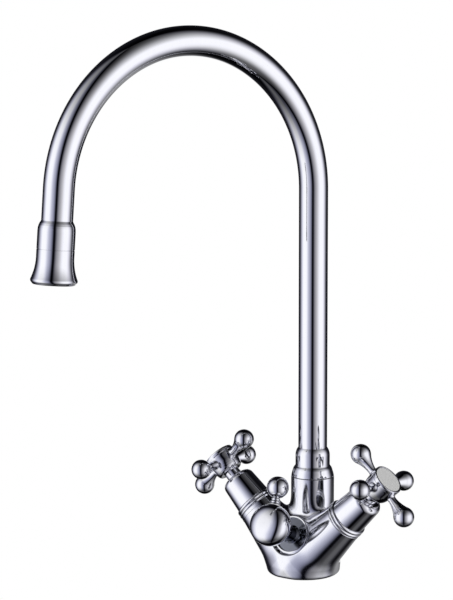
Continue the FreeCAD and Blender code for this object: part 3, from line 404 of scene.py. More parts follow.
CAST_TONES = (0.92, 0.925, 0.96), (0.88, 0.885, 0.925)
DRAWN_CHROME = Finish(Slot.CHROME, "chrome_drawn", (0.93, 0.935, 0.965), (0.90, 0.905, 0.94), 0.02, 0.045)
CAST_CHROME = Finish(Slot.CHROME, "chrome_cast", *CAST_TONES, 0.025, 0.06, relief=2.5e-5)
BODY_CHROME = Finish(Slot.CHROME, "chrome_body", *CAST_TONES, 0.09, 0.12, relief=2.5e-5)
# Painted shade: the flange and neck in the filter boss's recess get a dark blue-grey chrome colour. It stands
# in for the shade and the dark reflections inside the recess, not for a colour the metal has.
RECESS_CHROME_PAINTED_SHADE = Finish(Slot.CHROME, "chrome_recess_painted_shade", (0.20, 0.21, 0.25), (0.16, 0.17, 0.20), 0.05, 0.10)
TURNED, MOULDED = Effect.TURNING, Effect.GRAIN
INDEX_MATT = Finish(Slot.INDEX, "index_matt", (0.6, 0.6, 0.585), (0.52, 0.52, 0.51), 0.42, 0.6, 0.0, 6e-6,
                    MOULDED, specular=0.4)
CARRIED_FINISHES = (
    DRAWN_CHROME,
    INDEX_MATT,
    Finish(Slot.BRASS, "brass_turned", (0.72, 0.52, 0.22), (0.5, 0.34, 0.13), 0.2, 0.42, 1.0, 2e-6, TURNED),
    Finish(Slot.STEEL, "steel_satin", (0.58, 0.58, 0.6), (0.42, 0.42, 0.44), 0.22, 0.4, 1.0, 2e-6, TURNED,
           fineness=1.4),
    Finish(Slot.RUBBER, "rubber_black", (0.022, 0.022, 0.024), (0.035, 0.035, 0.037), 0.55, 0.8, 0.0, 1e-5,
           MOULDED, specular=0.35, fineness=0.8),
    Finish(Slot.CERAMIC, "ceramic_lapped", (0.83, 0.81, 0.76), (0.76, 0.74, 0.69), 0.12, 0.25, 0.0,
           effect=MOULDED),
    Finish(Slot.SLIDE, "acetal_white", (0.8, 0.8, 0.77), (0.72, 0.72, 0.7), 0.35, 0.5, 0.0, 4e-6, MOULDED),
    Finish(Slot.AERATOR, "aerator_grey", (0.62, 0.63, 0.64), (0.5, 0.51, 0.52), 0.35, 0.55, 0.0, 5e-6, MOULDED),
    Finish(Slot.TUBE, "tube_natural", (0.78, 0.8, 0.82), (0.7, 0.72, 0.75), 0.3, 0.45, 0.0, 3e-6, MOULDED),
)


# Meshes


def in_scene(name: str, data: bpy.types.ID) -> bpy.types.Object:
    """Put new data into the scene.

    Args:
        name: Name of the object.
        data: A mesh, camera or lamp.

    Returns:
        The linked object.
    """
    made = bpy.data.objects.new(name, data)
    bpy.context.scene.collection.objects.link(made)
    return made


def as_object(
    name: str, frame_of: Matrix, points: np.ndarray, faces: Sequence, normals: np.ndarray | None = None
) -> bpy.types.Object:
    """Make an object from points in a frame.

    Args:
        name: Name of the object.
        frame_of: Frame that the points are given in, in millimetres.
        points: Corner points, one row each.
        faces: Corner numbers of each face.
        normals: Exact normals of the points or of the faces' corners, or None to use the faces.

    Returns:
        The linked object, smooth apart from its real edges.
    """
    turn = np.array(frame_of.to_3x3())
    placed = points @ turn.T + np.array(frame_of.translation)
    mesh = bpy.data.meshes.new(name)
    mesh.from_pydata((placed * MM).tolist(), [], faces if isinstance(faces, list) else faces.tolist())
    mesh.shade_smooth()
    if normals is None:
        mesh.set_sharp_from_angle(angle=SHARP_ANGLE)
    elif len(normals) == len(points):
        mesh.normals_split_custom_set_from_vertices((normals @ turn.T).tolist())
    else:
        mesh.normals_split_custom_set((normals @ turn.T).tolist())
    return in_scene(name, mesh)


def show(made: bpy.types.Object, body: str, finish: Finish, *nodes: str) -> None:
    """Give a piece its finish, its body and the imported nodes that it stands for.

    Args:
        made: The piece.
        body: Body that it rides.
        finish: What it is made of.
        nodes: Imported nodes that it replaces.
    """
    made.data.materials.append(finish.material())
    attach(made, body)
    if nodes:
        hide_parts(*nodes)


def unit_rows(rows: np.ndarray) -> np.ndarray:
    """Bring each row to length 1."""
    return rows / np.maximum(np.linalg.norm(rows, axis=1, keepdims=True), TINY)


def arc(start: Corner, finish: Corner, radius: float, count: int) -> list[Corner]:
    """Points of the short arc after start, up to finish.

    Args:
        start: (radius, height) where the arc starts.
        finish: (radius, height) where it ends.
        radius: Arc radius, positive where it turns left on its way and negative where it turns right.
        count: Number of steps.

    Returns:
        The arc's points without the first.
    """
    a, b = np.array(start[:2], float), np.array(finish[:2], float)
    chord = b - a
    length = np.linalg.norm(chord)
    left = np.array([-chord[1], chord[0]]) / length
    rise = math.sqrt(max(radius * radius - length * length / 4, 0))
    centre = (a + b) / 2 + left * (rise if radius > 0 else -rise)
    first = math.atan2(*(a - centre)[::-1])
    sweep = 2 * math.asin(min(1, length / 2 / abs(radius))) * (1 if radius > 0 else -1)
    angles = [first + sweep * step / count for step in range(1, count + 1)]
    return [tuple(centre + abs(radius) * np.array([math.cos(x), math.sin(x)])) for x in angles]


@dataclass(frozen=True)
class Bend:
    """A round stretch of an outline, from the corner before it.

    Attributes:
        end: (radius, height) where it ends.
        radius: As for arc().
        count: Number of steps.
    """

    end: Corner
    radius: float
    count: int


def outlined(*stretches: Corner | Bend) -> list[Corner]:
    """Write an outline out as corners.

    Args:
        stretches: Corners, as for eased(), and bends.

    Returns:
        The corners.
    """
    corners: list[Corner] = []
    for part in stretches:
        corners += arc(corners[-1], part.end, part.radius, part.count) if isinstance(part, Bend) else [part]
    return corners


def eased(corners: Sequence[Corner], steps: int = 5) -> list[tuple[float, float]]:
    """Round the corners of an outline.

    Args:
        corners: (radius, height) or (radius, height, rounding) corners.
        steps: Number of faces round each rounded corner.

    Returns:
        The outline's points.
    """
    points: list[tuple[float, float]] = []
    for index, corner in enumerate(corners):
        size = corner[2] if len(corner) > 2 else 0.0
        here = np.array(corner[:2], float)
        if not size or index in (0, len(corners) - 1):
            points.append(tuple(here))
            continue
        before = np.array(corners[index - 1][:2], float) - here
        after = np.array(corners[index + 1][:2], float) - here
        before_length, after_length = np.linalg.norm(before), np.linalg.norm(after)
        half = math.acos(np.clip(before @ after / before_length / after_length, -1, 1)) / 2
        reach = min(size / math.tan(half), before_length * EASED_SHARE, after_length * EASED_SHARE)
        start, end = here + before / before_length * reach, here + after / after_length * reach
        cross = before[0] * after[1] - before[1] * after[0]
        points.append(tuple(start))
        points.extend(arc(start, end, reach * math.tan(half) * (1 if cross < 0 else -1), steps))
    return points


def edge_normals(outline: np.ndarray) -> tuple[np.ndarray, np.ndarray]:
    """Normals at both ends of each step of an outline, shared where the corner is soft.

    Args:
        outline: (radius, height) rows.

    Returns:
        The normals at the first and at the second end of each step, as (radial, axial) rows.
    """
    steps = np.diff(outline, axis=0)
    weights = np.linalg.norm(steps, axis=1, keepdims=True)
    flat = unit_rows(np.stack([steps[:, 1], -steps[:, 0]], 1))
    blended = unit_rows(flat[:-1] * weights[:-1] + flat[1:] * weights[1:])
    soft = (flat[:-1] * flat[1:]).sum(1, keepdims=True) > math.cos(SHARP_ANGLE)
    first, second = flat.copy(), flat.copy()
    first[1:] = np.where(soft, blended, flat[1:])
    second[:-1] = np.where(soft, blended, flat[:-1])
    return first, second


def turned(name: str, frame_of: Matrix, corners: Sequence[Corner], segments: int = 144) -> bpy.types.Object:
    """Turn an outline about the Z axis of a frame. Points on the axis become one point.

    Args:
        name: Name of the object.
        frame_of: Frame whose Z is the axis.
        corners: Corners of the outline, as for eased().
        segments: Number of steps round.

    Returns:
        The turned object, with exact normals.
    """
    outline = np.array(eased(corners))
    first, second = edge_normals(outline)
    around = np.linspace(0, 2 * math.pi, segments, endpoint=False)
    spin = np.stack([np.cos(around), np.sin(around)], 1)
    points: list[Triple] = []
    rings: list[list[int]] = []
    for radius, height in outline:
        if radius < TINY:
            rings.append([len(points)] * segments)
            points.append((0, 0, height))
            continue
        rings.append(list(range(len(points), len(points) + segments)))
        points.extend((radius * c, radius * d, height) for c, d in spin)
    faces, normals = [], []
    for step, (lower, upper) in enumerate(zip(rings, rings[1:])):
        for i in range(segments):
            j = (i + 1) % segments
            corner = {}
            for point, turn, (radial, axial) in (
                (lower[i], i, first[step]), (lower[j], j, first[step]),
                (upper[j], j, second[step]), (upper[i], i, second[step]),
            ):
                corner.setdefault(point, (radial * spin[turn][0], radial * spin[turn][1], axial))
            faces.append(list(corner))
            normals.extend(corner.values())
    return as_object(name, frame_of, np.array(points), faces, np.array(normals))


def swept(
    name: str, frame_of: Matrix, line: Sequence[Corner], radius: float, segments: int = 96
) -> bpy.types.Object:
    """Sweep a circle along a line in the XZ plane of a frame.

    Args:
        name: Name of the object.
        frame_of: Frame of the line.
        line: (x, z, angle) rows, with the angle of the line's direction from +Z towards +X, in radians.
        radius: Radius of the circle.
        segments: Number of steps round.

    Returns:
        The open-ended tube.
    """
    around = np.linspace(0, 2 * math.pi, segments, endpoint=False)
    rings = []
    for x, z, lean in line:
        side = np.array([math.cos(lean), 0, -math.sin(lean)])
        ring = np.outer(np.cos(around), side) + np.outer(np.sin(around), [0, 1, 0])
        rings.append(np.array([x, 0, z]) + radius * ring)
    faces = []
    for step in range(len(rings) - 1):
        for i in range(segments):
            j = (i + 1) % segments
            low, high = step * segments, (step + 1) * segments
            faces.append([low + i, low + j, high + j, high + i])
    return as_object(name, frame_of, np.concatenate(rings), faces)


# Soft blends of cast shapes


class Form:
    """A shape known by the distance to its surface, negative inside."""

    def distance(self, points: np.ndarray) -> np.ndarray:
        """Distance from the surface.

        Args:
            points: (x, y, z) rows, in millimetres.

        Returns:
            One distance for each row, in millimetres.
        """
        raise NotImplementedError


@dataclass(frozen=True)
class TurnedForm(Form):
    """A solid of revolution with evenly rounded edges.

    Attributes:
        frame_of: Frame whose Z is the axis.
        outline: Closed (radius, height) outline; a radius under 0 closes it past the axis.
        rounding: Radius of the edges, added outside the outline.
    """

    frame_of: Matrix
    outline: Rows
    rounding: float = 0.0

    def distance(self, points: np.ndarray) -> np.ndarray:
        """Distance from the outline, in the plane through the axis and the point.

        Args:
            points: (x, y, z) rows, in millimetres.

        Returns:
            One distance for each row, in millimetres.
        """
        back = np.array(self.frame_of.inverted())
        local = points @ back[:3, :3].T + back[:3, 3]
        flat = np.stack([np.hypot(local[:, 0], local[:, 1]), local[:, 2]], 1)
        nearest = np.full(len(flat), np.inf)
        sign = np.ones(len(flat))
        corners = np.array(self.outline, float)
        for a, b in zip(corners, np.roll(corners, -1, axis=0)):
            edge, gap = b - a, flat - a
            share = np.clip(gap @ edge / (edge @ edge), 0, 1)
            nearest = np.minimum(nearest, ((gap - share[:, None] * edge) ** 2).sum(1))
            rising, falling = flat[:, 1] >= a[1], flat[:, 1] < b[1]
            leftward = edge[0] * gap[:, 1] > edge[1] * gap[:, 0]
            crossing = (rising & falling & leftward) | ~(rising | falling | leftward)
            sign = np.where(crossing, -sign, sign)
        return sign * np.sqrt(nearest) - self.rounding


def solid(frame_of: Matrix, *wall: Corner, rounding: float = 0.0, past: float = -9.0) -> TurnedForm:
    """A solid of revolution from the corners of its wall, closed at a radius past the axis."""
    return TurnedForm(frame_of, ((past, wall[0][1]), *wall, (past, wall[-1][1])), rounding)


@dataclass(frozen=True)
class Ball(Form):
    """A ball round a point."""

    centre: Triple
    radius: float

    def distance(self, points: np.ndarray) -> np.ndarray:
        """Distance from the ball."""
        return np.linalg.norm(points - np.array(self.centre), axis=1) - self.radius


@dataclass(frozen=True)
class FourTimes(Form):
    """A shape that reaches along +X, repeated every quarter turn round the Z axis."""

    arm: Form

    def distance(self, points: np.ndarray) -> np.ndarray:
        """Distance from the nearest of the four arms."""
        flat = np.sort(np.abs(points[:, :2]), axis=1)
        return self.arm.distance(np.stack([flat[:, 1], flat[:, 0], points[:, 2]], 1))


def fillet(a: np.ndarray, b: np.ndarray, softness: float) -> np.ndarray:
    """Depth of the cubic fillet between two surfaces, from the distances to them."""
    near = np.maximum(softness - np.abs(a - b), 0) / softness
    return near**3 * softness / 6


@dataclass(frozen=True)
class Joined(Form):
    """Two shapes cast as one, with a soft fillet where they meet."""

    first: Form
    second: Form
    softness: float

    def distance(self, points: np.ndarray) -> np.ndarray:
        """Distance from the nearer shape, with the inner corner filled."""
        a, b = self.first.distance(points), self.second.distance(points)
        return np.minimum(a, b) - fillet(a, b, self.softness)


@dataclass(frozen=True)
class Carved(Form):
    """A shape with another cut out of it, with a slightly eased edge."""

    base: Form
    cut: Form
    softness: float = 0.35

    def distance(self, points: np.ndarray) -> np.ndarray:
        """Distance from what is left of the base."""
        a, b = self.base.distance(points), -self.cut.distance(points)
        return np.maximum(a, b) + fillet(a, b, self.softness)


@dataclass(frozen=True)
class Skin:
    """Turns a form into a fine mesh of four-sided faces whose normals are exact.

    Attributes:
        form: The shape.
        low: Lowest corner of the box that holds it.
        high: Highest corner.
        step: Size of the faces.
        probe: Step at which the form's slope is measured.
        block: Number of cells, along each side, that share one rough sample.
        settling: How often the points are drawn onto the surface.
    """

    form: Form
    low: Triple
    high: Triple
    step: float
    probe: float = 0.02
    block: int = 4
    settling: int = 3

    def _gradient(self, points: np.ndarray) -> np.ndarray:
        """Unit direction in which the distance grows, at each point."""
        measure, sides = self.form.distance, np.eye(3) * self.probe
        return unit_rows(np.stack([measure(points + side) - measure(points - side) for side in sides], 1))

    def _crossings(self, value: np.ndarray, active: np.ndarray) -> np.ndarray:
        """Find where the surface crosses the cells.

        Args:
            value: Distance at each grid point.
            active: Which cells the surface crosses.

        Returns:
            The mean place of the crossed edges of each active cell, in cells.
        """
        cells = np.argwhere(active)
        total, count = np.zeros((len(cells), 3)), np.zeros(len(cells))
        for a, b in product(product((0, 1), repeat=3), repeat=2):
            if sum(abs(x - y) for x, y in zip(a, b)) != 1 or a > b:
                continue
            start, end = value[tuple((cells + a).T)], value[tuple((cells + b).T)]
            crossed = (start < 0) != (end < 0)
            share = np.where(crossed, start / np.where(crossed, start - end, 1), 0)
            total += crossed[:, None] * (np.array(a) + share[:, None] * (np.array(b) - np.array(a)))
            count += crossed
        return cells + total / count[:, None]

    def _sampled(self, lines: list[np.ndarray]) -> np.ndarray:
        """Measure the form over the grid, roughly first and exactly near the surface.

        Args:
            lines: The grid's places along each axis.

        Returns:
            Distance at each grid point. Far from the surface only its sign is right.
        """
        block = self.block
        half = (block - 1) / 2
        middles = [line[0] + (np.arange(-(-len(line) // block)) * block + half) * self.step for line in lines]
        rough = np.stack(np.meshgrid(*middles, indexing="ij"), -1)
        value = self.form.distance(rough.reshape(-1, 3)).reshape(rough.shape[:3])
        for axis, line in enumerate(lines):
            value = np.repeat(value, block, axis).take(range(len(line)), axis)
        near = np.abs(value) < self.step * block
        points = np.array(self.low) + np.argwhere(near) * self.step
        value[near] = self.form.distance(points)
        return value

    def mesh_parts(self) -> tuple[np.ndarray, np.ndarray, np.ndarray]:
        """Work out the skin.

        Returns:
            Points, faces and normals.
        """
        lines = [np.arange(a, b + self.step, self.step) for a, b in zip(self.low, self.high)]
        value = self._sampled(lines)
        inside = value < 0
        ends = slice(None, -1), slice(1, None)
        filled = sum(inside[cell].astype(np.int8) for cell in product(ends, repeat=3))
        active = (filled > 0) & (filled < 8)
        number = np.full(active.shape, -1)
        number[active] = np.arange(active.sum())
        points = np.array(self.low) + self._crossings(value, active) * self.step
        for _ in range(self.settling):
            points = points - self.form.distance(points)[:, None] * self._gradient(points)
        faces = []
        for axis in range(3):
            others = [other for other in range(3) if other != axis]
            ahead = np.roll(inside, -1, axis)
            crossed = inside != ahead
            crossed[tuple(slice(-1, None) if i == axis else slice(None) for i in range(3))] = False
            at = np.argwhere(crossed)
            for other in others:
                at = at[(at[:, other] > 0) & (at[:, other] < active.shape[other])]
            unit = np.eye(3, dtype=int)
            u, v = unit[others[0]], unit[others[1]]
            quad = np.stack([number[tuple((at - shift).T)] for shift in (u * 0, u, u + v, v)], 1)
            outward = inside[tuple(at.T)] == (axis != 1)
            quad[~outward] = quad[~outward][:, ::-1]
            faces.append(quad)
        return points, np.concatenate(faces), self._gradient(points)

    def as_object(self, name: str, frame_of: Matrix) -> bpy.types.Object:
        """The skin as an object, its form being given in frame_of."""
        points, faces, normals = self.mesh_parts()
        return as_object(name, frame_of, points, faces, normals)


def hole(x: float, y: float, depth: float, radius: float) -> TurnedForm:
    """An upright hole from the foot's underside."""
    return solid(place(x, y), (radius, -2), (radius, depth))


# Sub-assemblies


@dataclass(frozen=True)
class CastBody:
    """The cast body: a soft skin, and crisp machined ends that stand a little proud of it.

    Attributes:
        arm_taper: Length over which an arm narrows, up to its end.
        short: How far the soft skin stops below the machined ends.
        proud: How far the machined ends stand out of the soft skin.
        buried: Where the column and the arms start, inside the casting.
        knuckle_rise: How far above the arms' apex the ball between them stands.
        inlets: (x, y) of the threaded inlets under the foot.
        stud: (x, y, depth, radius) of the hole for the fixing stud.
        seal_groove: (radius, height) outline of the foot seal's groove.
        mesh_box: Lowest and highest corners of the box that holds the skin.
        mesh_step: Size of the skin's faces.
    """

    foot_radius: float = 23.2
    foot_height: float = 9.0
    edge_round: float = 2.6
    core_radius: float = 13.0
    core_height: float = 26.0
    column_radius: float = 14.2
    column_top: float = 62.8
    arm_root: float = 18.0
    arm_end_radius: float = 13.6
    arm_end: float = 47.0
    arm_taper: float = 35.0
    boss_radius: float = 12.5
    recess_radius: float = 11.3
    short: float = 1.5
    proud: float = 0.02
    buried: float = 7.0
    knuckle_rise: float = 1.5
    inlets: Rows = ((-12.0, -4.4), (12.0, -4.4), (0.0, -9.0))
    inlet_depth: float = 12.0
    inlet_radius: float = 4.5
    stud: tuple[float, ...] = (0.0, 12.0, 14.0, 3.4)
    seal_groove: Rows = ((17.6, -1), (19.6, -1), (19.6, 1.7), (17.6, 1.7))
    mesh_box: tuple[Triple, Triple] = ((-47, -31, -1), (47, 27, 64))
    mesh_step: float = 0.7

    @property
    def slope(self) -> float:
        """How much an arm narrows in each millimetre."""
        return (self.arm_root - self.arm_end_radius) / self.arm_taper

    def blended(self) -> Form:
        """Blend the foot, arms, boss and column.

        Returns:
            The casting before any cut.
        """
        edge, soft, low, rim_at = self.edge_round, 1.0, self.buried, LAYOUT.rim_along
        wide, core = self.foot_radius - edge, self.core_radius - edge
        foot = solid(place(), (wide, edge), (wide, self.foot_height - edge), (core, self.core_height - edge),
                     rounding=edge, past=-30)
        wall, top = self.column_radius - soft, self.column_top - self.short
        column = solid(place(0, LAYOUT.column_offset), (wall, low), (wall, top), rounding=soft)
        widening = self.slope * (self.arm_end - self.arm_taper - low)
        root, end = self.arm_root - soft + widening, self.arm_end_radius - soft
        cone = (root, 1), (root, low), (end, self.arm_end - self.short)
        shape: Form = Joined(*(solid(LAYOUT.arm(side), *cone, rounding=soft) for side in Side), 9.0)
        knuckle = Ball((0.0, LAYOUT.arm_plane, LAYOUT.arm_apex + self.knuckle_rise), self.arm_root)
        boss = solid(LAYOUT.filter, (12.3, 3), (self.boss_radius - 0.8, rim_at - 1.2), rounding=0.8, past=-6)
        for part, softness in ((knuckle, 7.0), (foot, 10.0), (column, 12.0), (boss, 5.0)):
            shape = Joined(shape, part, softness)
        return shape

    def form(self) -> Form:
        """Cut the underside, the boss's ledge and recess and the holes under the foot.

        Returns:
            The whole casting.
        """
        rim_at, shape = LAYOUT.rim_along, self.blended()
        underside = solid(place(), (60, -40), (60, 0), past=-60)
        ledge = solid(LAYOUT.filter, (12.3, rim_at - 0.4), (12.9, rim_at + 0.1), (15.6, 23.2), (15.6, 30))
        recess = solid(LAYOUT.filter, (6.5, 15), (6.5, 18.3), (11.6, 18.3), (11.6, 24))
        holes = [hole(x, y, self.inlet_depth, self.inlet_radius) for x, y in self.inlets] + [hole(*self.stud)]
        shape = Carved(Carved(shape, underside, 3.0), ledge, 1.0)
        for cut in (recess, *holes, TurnedForm(place(), self.seal_groove)):
            shape = Carved(shape, cut)
        return shape

    def build(self) -> None:
        """Add the casting and its machined ends."""
        skin = Skin(self.form(), *self.mesh_box, self.mesh_step)
        show(skin.as_object("casting_skin", Matrix.Identity(4)), "tap_body", BODY_CHROME, "body_casting")
        wall, top, floor = self.column_radius + self.proud, self.column_top, self.column_top - 1.2
        socket = [(wall, top - 2.2), (wall, top, 0.25), (12.35, top, 0.1), (12.35, floor), (10.35, floor),
                  (10.35, top - 8)]
        show(turned("socket_rim", place(0, LAYOUT.column_offset), socket), "tap_body", BODY_CHROME)
        end, radius = self.arm_end, self.arm_end_radius + self.proud
        face = [(radius + self.slope * 2.2, end - 2.2), (radius, end, 0.3), (9.4, end, 0.1), (9.4, end - 4)]
        for side in Side:
            show(turned(f"{side.prefix}_arm_rim", LAYOUT.arm(side), face), "tap_body", BODY_CHROME)
        rim_at, boss = LAYOUT.rim_along, self.boss_radius + self.proud
        lip = [(boss, rim_at - 2.4), (boss, rim_at + 0.1, 0.5), (self.recess_radius, rim_at + 0.1, 0.35),
               (self.recess_radius, rim_at - 1.5, 0.15), (6.4, rim_at - 1.5)]
        show(turned("filter_boss_lip", LAYOUT.filter, lip), "tap_body", CAST_CHROME)


@dataclass(frozen=True)
class Spout:
    """The swan-neck tube and the collar at its root."""

    tube_radius: float = 9.5
    tube_start: float = 66.0
    leg: float = 33.5
    collar_base: float = 63.1
    bend_steps: int = 150

    def centre_line(self) -> list[Triple]:
        """Follow the middle of the tube.

        Returns:
            (x, z, lean) rows in the column's frame.
        """
        rows = [(0.0, self.tube_start, 0.0), (0.0, (self.tube_start + LAYOUT.bend_start) / 2, 0.0)]
        for step in range(self.bend_steps + 1):
            lean = math.radians(LAYOUT.bend_angle) * step / self.bend_steps
            x = LAYOUT.bend_radius * (1 - math.cos(lean))
            rows.append((x, LAYOUT.bend_start + LAYOUT.bend_radius * math.sin(lean), lean))
        x, z, lean = rows[-1]
        rows.append((x + self.leg * math.sin(lean), z + self.leg * math.cos(lean), lean))
        return rows

    def build(self) -> None:
        """Add the tube and its collar."""
        tube = swept("spout_tube_skin", LAYOUT.column, self.centre_line(), self.tube_radius)
        show(tube, "spout", DRAWN_CHROME, "spout_tube")
        base = self.collar_base
        collar = outlined(
            (10.4, base), (14.1, base, 0.25), (13.9, base + 1.2), (13.55, base + 2.6), (13.1, base + 4.0),
            Bend((11.55, base + 6.9), 5.6, 8), (11.35, base + 7.5, 0.5), (11.35, base + 14.0),
            Bend((9.62, base + 19.0), 8.6, 12), (self.tube_radius, base + 19.2),
        )
        show(turned("spout_collar_skin", LAYOUT.column, collar), "spout", DRAWN_CHROME, "spout_collar")


@dataclass(frozen=True)
class Nozzle:
    """The coved ferrule on the tube's end and the trumpet-shaped bell below it."""

    tube_end: float = 33.5
    radius: float = 11.4
    seam_floor: float = 11.05
    mouth: float = 14.05

    def build(self) -> None:
        """Add the ferrule and the bell."""
        start, seam, floor = self.tube_end - 14.8, self.tube_end + 2.2, self.seam_floor
        ferrule = [
            (9.5, start), (9.6, start + 0.3, 1.0), (10.4, start + 1.7, 3.0), (10.97, start + 3.1, 3.0),
            (11.27, start + 4.6, 4.0), (self.radius, start + 6.6, 6.0), (self.radius, seam, 0.12),
            (floor, seam), (floor, seam + 1),
        ]
        show(turned("nozzle_ferrule_skin", LAYOUT.nozzle, ferrule), "spout", DRAWN_CHROME, "nozzle_ferrule")
        flare, mouth_at, end = seam + 4.8, seam + 17.8, seam + 21.1
        rise, run = self.mouth - self.radius, mouth_at - flare
        sweep = (run * run + rise * rise) / 2 / rise
        bell = outlined(
            (floor, seam + 0.25), (self.radius, seam + 0.25, 0.12), (self.radius, flare),
            Bend((self.mouth, mouth_at), -sweep, 22), Bend((self.mouth - 0.75, end - 0.9), 1.95, 8),
            Bend((self.mouth - 1.75, end), 1.3, 6), (self.mouth - 2.6, end, 0.3), (9.2, end - 1.9, 0.2),
            (9.9, end - 1.9),
        )
        show(turned("nozzle_bell_skin", LAYOUT.nozzle, bell), "spout", DRAWN_CHROME, "nozzle_bell")


@dataclass(frozen=True)
class CrossHandle:
    """A hub with four ball-ended arms, its crisp top rim and the plain index disc."""

    side: Side
    rest_turn: float
    cross_at: float = 85.95
    reach: float = 24.86
    ball: float = 6.6
    neck: float = 2.6
    neck_reach: float = 10.5
    rim_at: float = 89.6
    top: float = 92.5
    hub: Rows = (
        (5.0, 70.9), (5.25, 71.0), (5.25, 78.8), (6.6, 78.2), (7.6, 77.9), (8.3, 78.1), (8.9, 78.8),
        (9.35, 79.9), (9.7, 81.3), (9.95, 82.8), (10.1, 84.2), (10.2, 86.0), (10.35, 88.4), (10.35, 92.0),
    )
    mesh_box: tuple[Triple, Triple] = ((-32.5, -32.5, 70), (32.5, 32.5, 93.5))
    mesh_step: float = 0.5

    @property
    def frame_of(self) -> Matrix:
        """Frame of the handle in its resting turn."""
        return LAYOUT.arm(self.side) @ turned_by(-self.rest_turn, "Z")

    def arm_wall(self) -> list[tuple[float, float]]:
        """Draw one arm: a waisted stem that swells into the ball.

        Returns:
            (radius, reach) corners.
        """
        run = self.reach - self.neck_reach
        swell = (run * run + self.neck**2 - self.ball**2) / 2 / (self.ball - self.neck)
        share = self.ball / (swell + self.ball)
        meet = (self.reach - run * share, (self.neck + swell) * share)
        stem = outlined((3.0, self.neck), (self.neck_reach, self.neck), Bend(meet, swell, 18))
        return [(float(radius), float(along)) for along, radius in stem]

    def form(self) -> Form:
        """Join the hub and the arms in the handle's own frame, with Z along the spindle.

        Returns:
            The casting.
        """
        stem = solid(place(0, 0, self.cross_at) @ turned_by(90, "Y"), *self.arm_wall(), past=-2)
        arm = Joined(stem, Ball((self.reach, 0, self.cross_at), self.ball), 0.2)
        return Joined(solid(place(), *self.hub, past=-5), FourTimes(arm), 1.6)

    def build(self) -> None:
        """Add the handle, its rim and its index disc."""
        name, body, top = self.side.prefix, self.side.body, self.top
        skin = Skin(self.form(), *self.mesh_box, self.mesh_step)
        show(skin.as_object(f"{name}_cross_skin", self.frame_of), body, CAST_CHROME, f"{name}_cross_handle")
        rim = [(10.37, self.rim_at), (10.5, self.rim_at + 0.5, 0.4), (10.55, top - 1.0, 0.5),
               (10.25, top, 0.35), (9.35, top, 0.25), (9.2, top - 1.5)]
        show(turned(f"{name}_hub_rim", self.frame_of, rim), body, CAST_CHROME)
        disc = [(0.0, top - 0.2), (9.0, top - 0.2, 0.2), (9.12, top - 0.5, 0.1), (9.12, top - 1.5)]
        show(turned(f"{name}_index_skin", self.frame_of, disc), body, INDEX_MATT, f"{name}_index_disc")


@dataclass(frozen=True)
class SideValve:
    """The bead ring and the bonnet of one arm."""

    side: Side
    start: float = 47.02
    front: float = 72.3

    def build(self) -> None:
        """Add the two shells."""
        name, axis = self.side.prefix, LAYOUT.arm(self.side)
        beads = outlined((11.2, self.start), (13.2, self.start), Bend((13.2, 49.3), 1.3, 10),
                         Bend((12.7, 51.9), 1.55, 10), (11.2, 51.9))
        show(turned(f"{name}_bead_skin", axis, beads), "tap_body", DRAWN_CHROME, f"{name}_bead_ring")
        shell = outlined((10.8, 51.95), (12.5, 51.95, 0.12), (11.25, 68.4), Bend((8.3, self.front), 4.1, 14),
                         (5.65, self.front, 0.3), (5.65, 70.6))
        show(turned(f"{name}_bonnet_skin", axis, shell), "tap_body", DRAWN_CHROME, f"{name}_bonnet")


@dataclass(frozen=True)
class FilterValve:
    """The flange and slim neck in the boss, the ball knob and its ball-ended lever."""

    flange_at: float = 19.7
    flange_radius: float = 11.15
    neck_radius: float = 4.9
    neck_end: float = 34.4
    knob_at: float = 46.3
    knob_radius: float = 13.65
    knob_depth: float = 9.0
    knob_fullness: float = 2.6
    knob_seat: float = 5.6
    reach: float = 25.2
    lever_at: float = 44.7
    lever_ball: float = 7.2
    lever_root: float = 2.9

    def knob_front(self, count: int = 64) -> list[Corner]:
        """Draw the knob's front, which is flatter than a ball and has fuller shoulders.

        Args:
            count: Number of steps.

        Returns:
            Corners after the knob's widest place, up to the axis.
        """
        power, rows = 2 / self.knob_fullness, []
        for step in range(1, count):
            angle = math.radians(90 * step / count)
            height = self.knob_depth * math.sin(angle) ** power
            rows.append((self.knob_radius * math.cos(angle) ** power, self.knob_at + height))
        return [*rows, (0.0, self.knob_at + self.knob_depth)]

    def build(self) -> None:
        """Add the shells of the filter valve."""
        flange, wide, slim, end = self.flange_at, self.flange_radius, self.neck_radius, self.neck_end
        neck = [(6.4, flange - 1.15), (wide, flange - 1.15), (wide, flange - 0.8, 0.2),
                (6.2, flange + 0.1, 0.9), (slim, 21.0, 0.5), (slim, end, 0.3), (2.95, end)]
        # The flange and neck use the dark recess chrome, whose colour is painted shade for the inside of the
        # recess.
        show(turned("filter_neck_skin", LAYOUT.filter, neck), "tap_body", RECESS_CHROME_PAINTED_SHADE, "filter_bonnet")
        back = self.knob_at - math.sqrt(self.knob_radius**2 - self.knob_seat**2)
        ball = outlined((5.3, end + 0.6), (5.3, back + 0.35, 0.3), (self.knob_seat, back),
                        Bend((self.knob_radius, self.knob_at), self.knob_radius, 60), *self.knob_front())
        knob = turned("filter_knob_skin", LAYOUT.lever_side, ball, 160)
        show(knob, "filter_lever_set", CAST_CHROME, "filter_knob")
        meet = (self.lever_root, self.reach - math.sqrt(self.lever_ball**2 - self.lever_root**2))
        stem = outlined(
            (0.0, 12.0), (3.4, 12.0), (3.45, 13.9, 0.4), (2.7, 14.3, 0.2),
            *arc((2.55, 14.3), (2.55, 16.3), 1.1, 10), *arc((2.45, 16.3), (2.35, 18.0), 1.0, 10),
            (2.4, 18.4, 0.3), meet, Bend((0.0, self.reach + self.lever_ball), self.lever_ball, 60),
        )
        axis = LAYOUT.lever_side @ place(0, 0, self.lever_at) @ turned_by(90, "Y")
        lever = turned("filter_lever_skin", axis, stem, 112)
        show(lever, "filter_lever_set", CAST_CHROME, "filter_lever")
        lever.visible_glossy = False


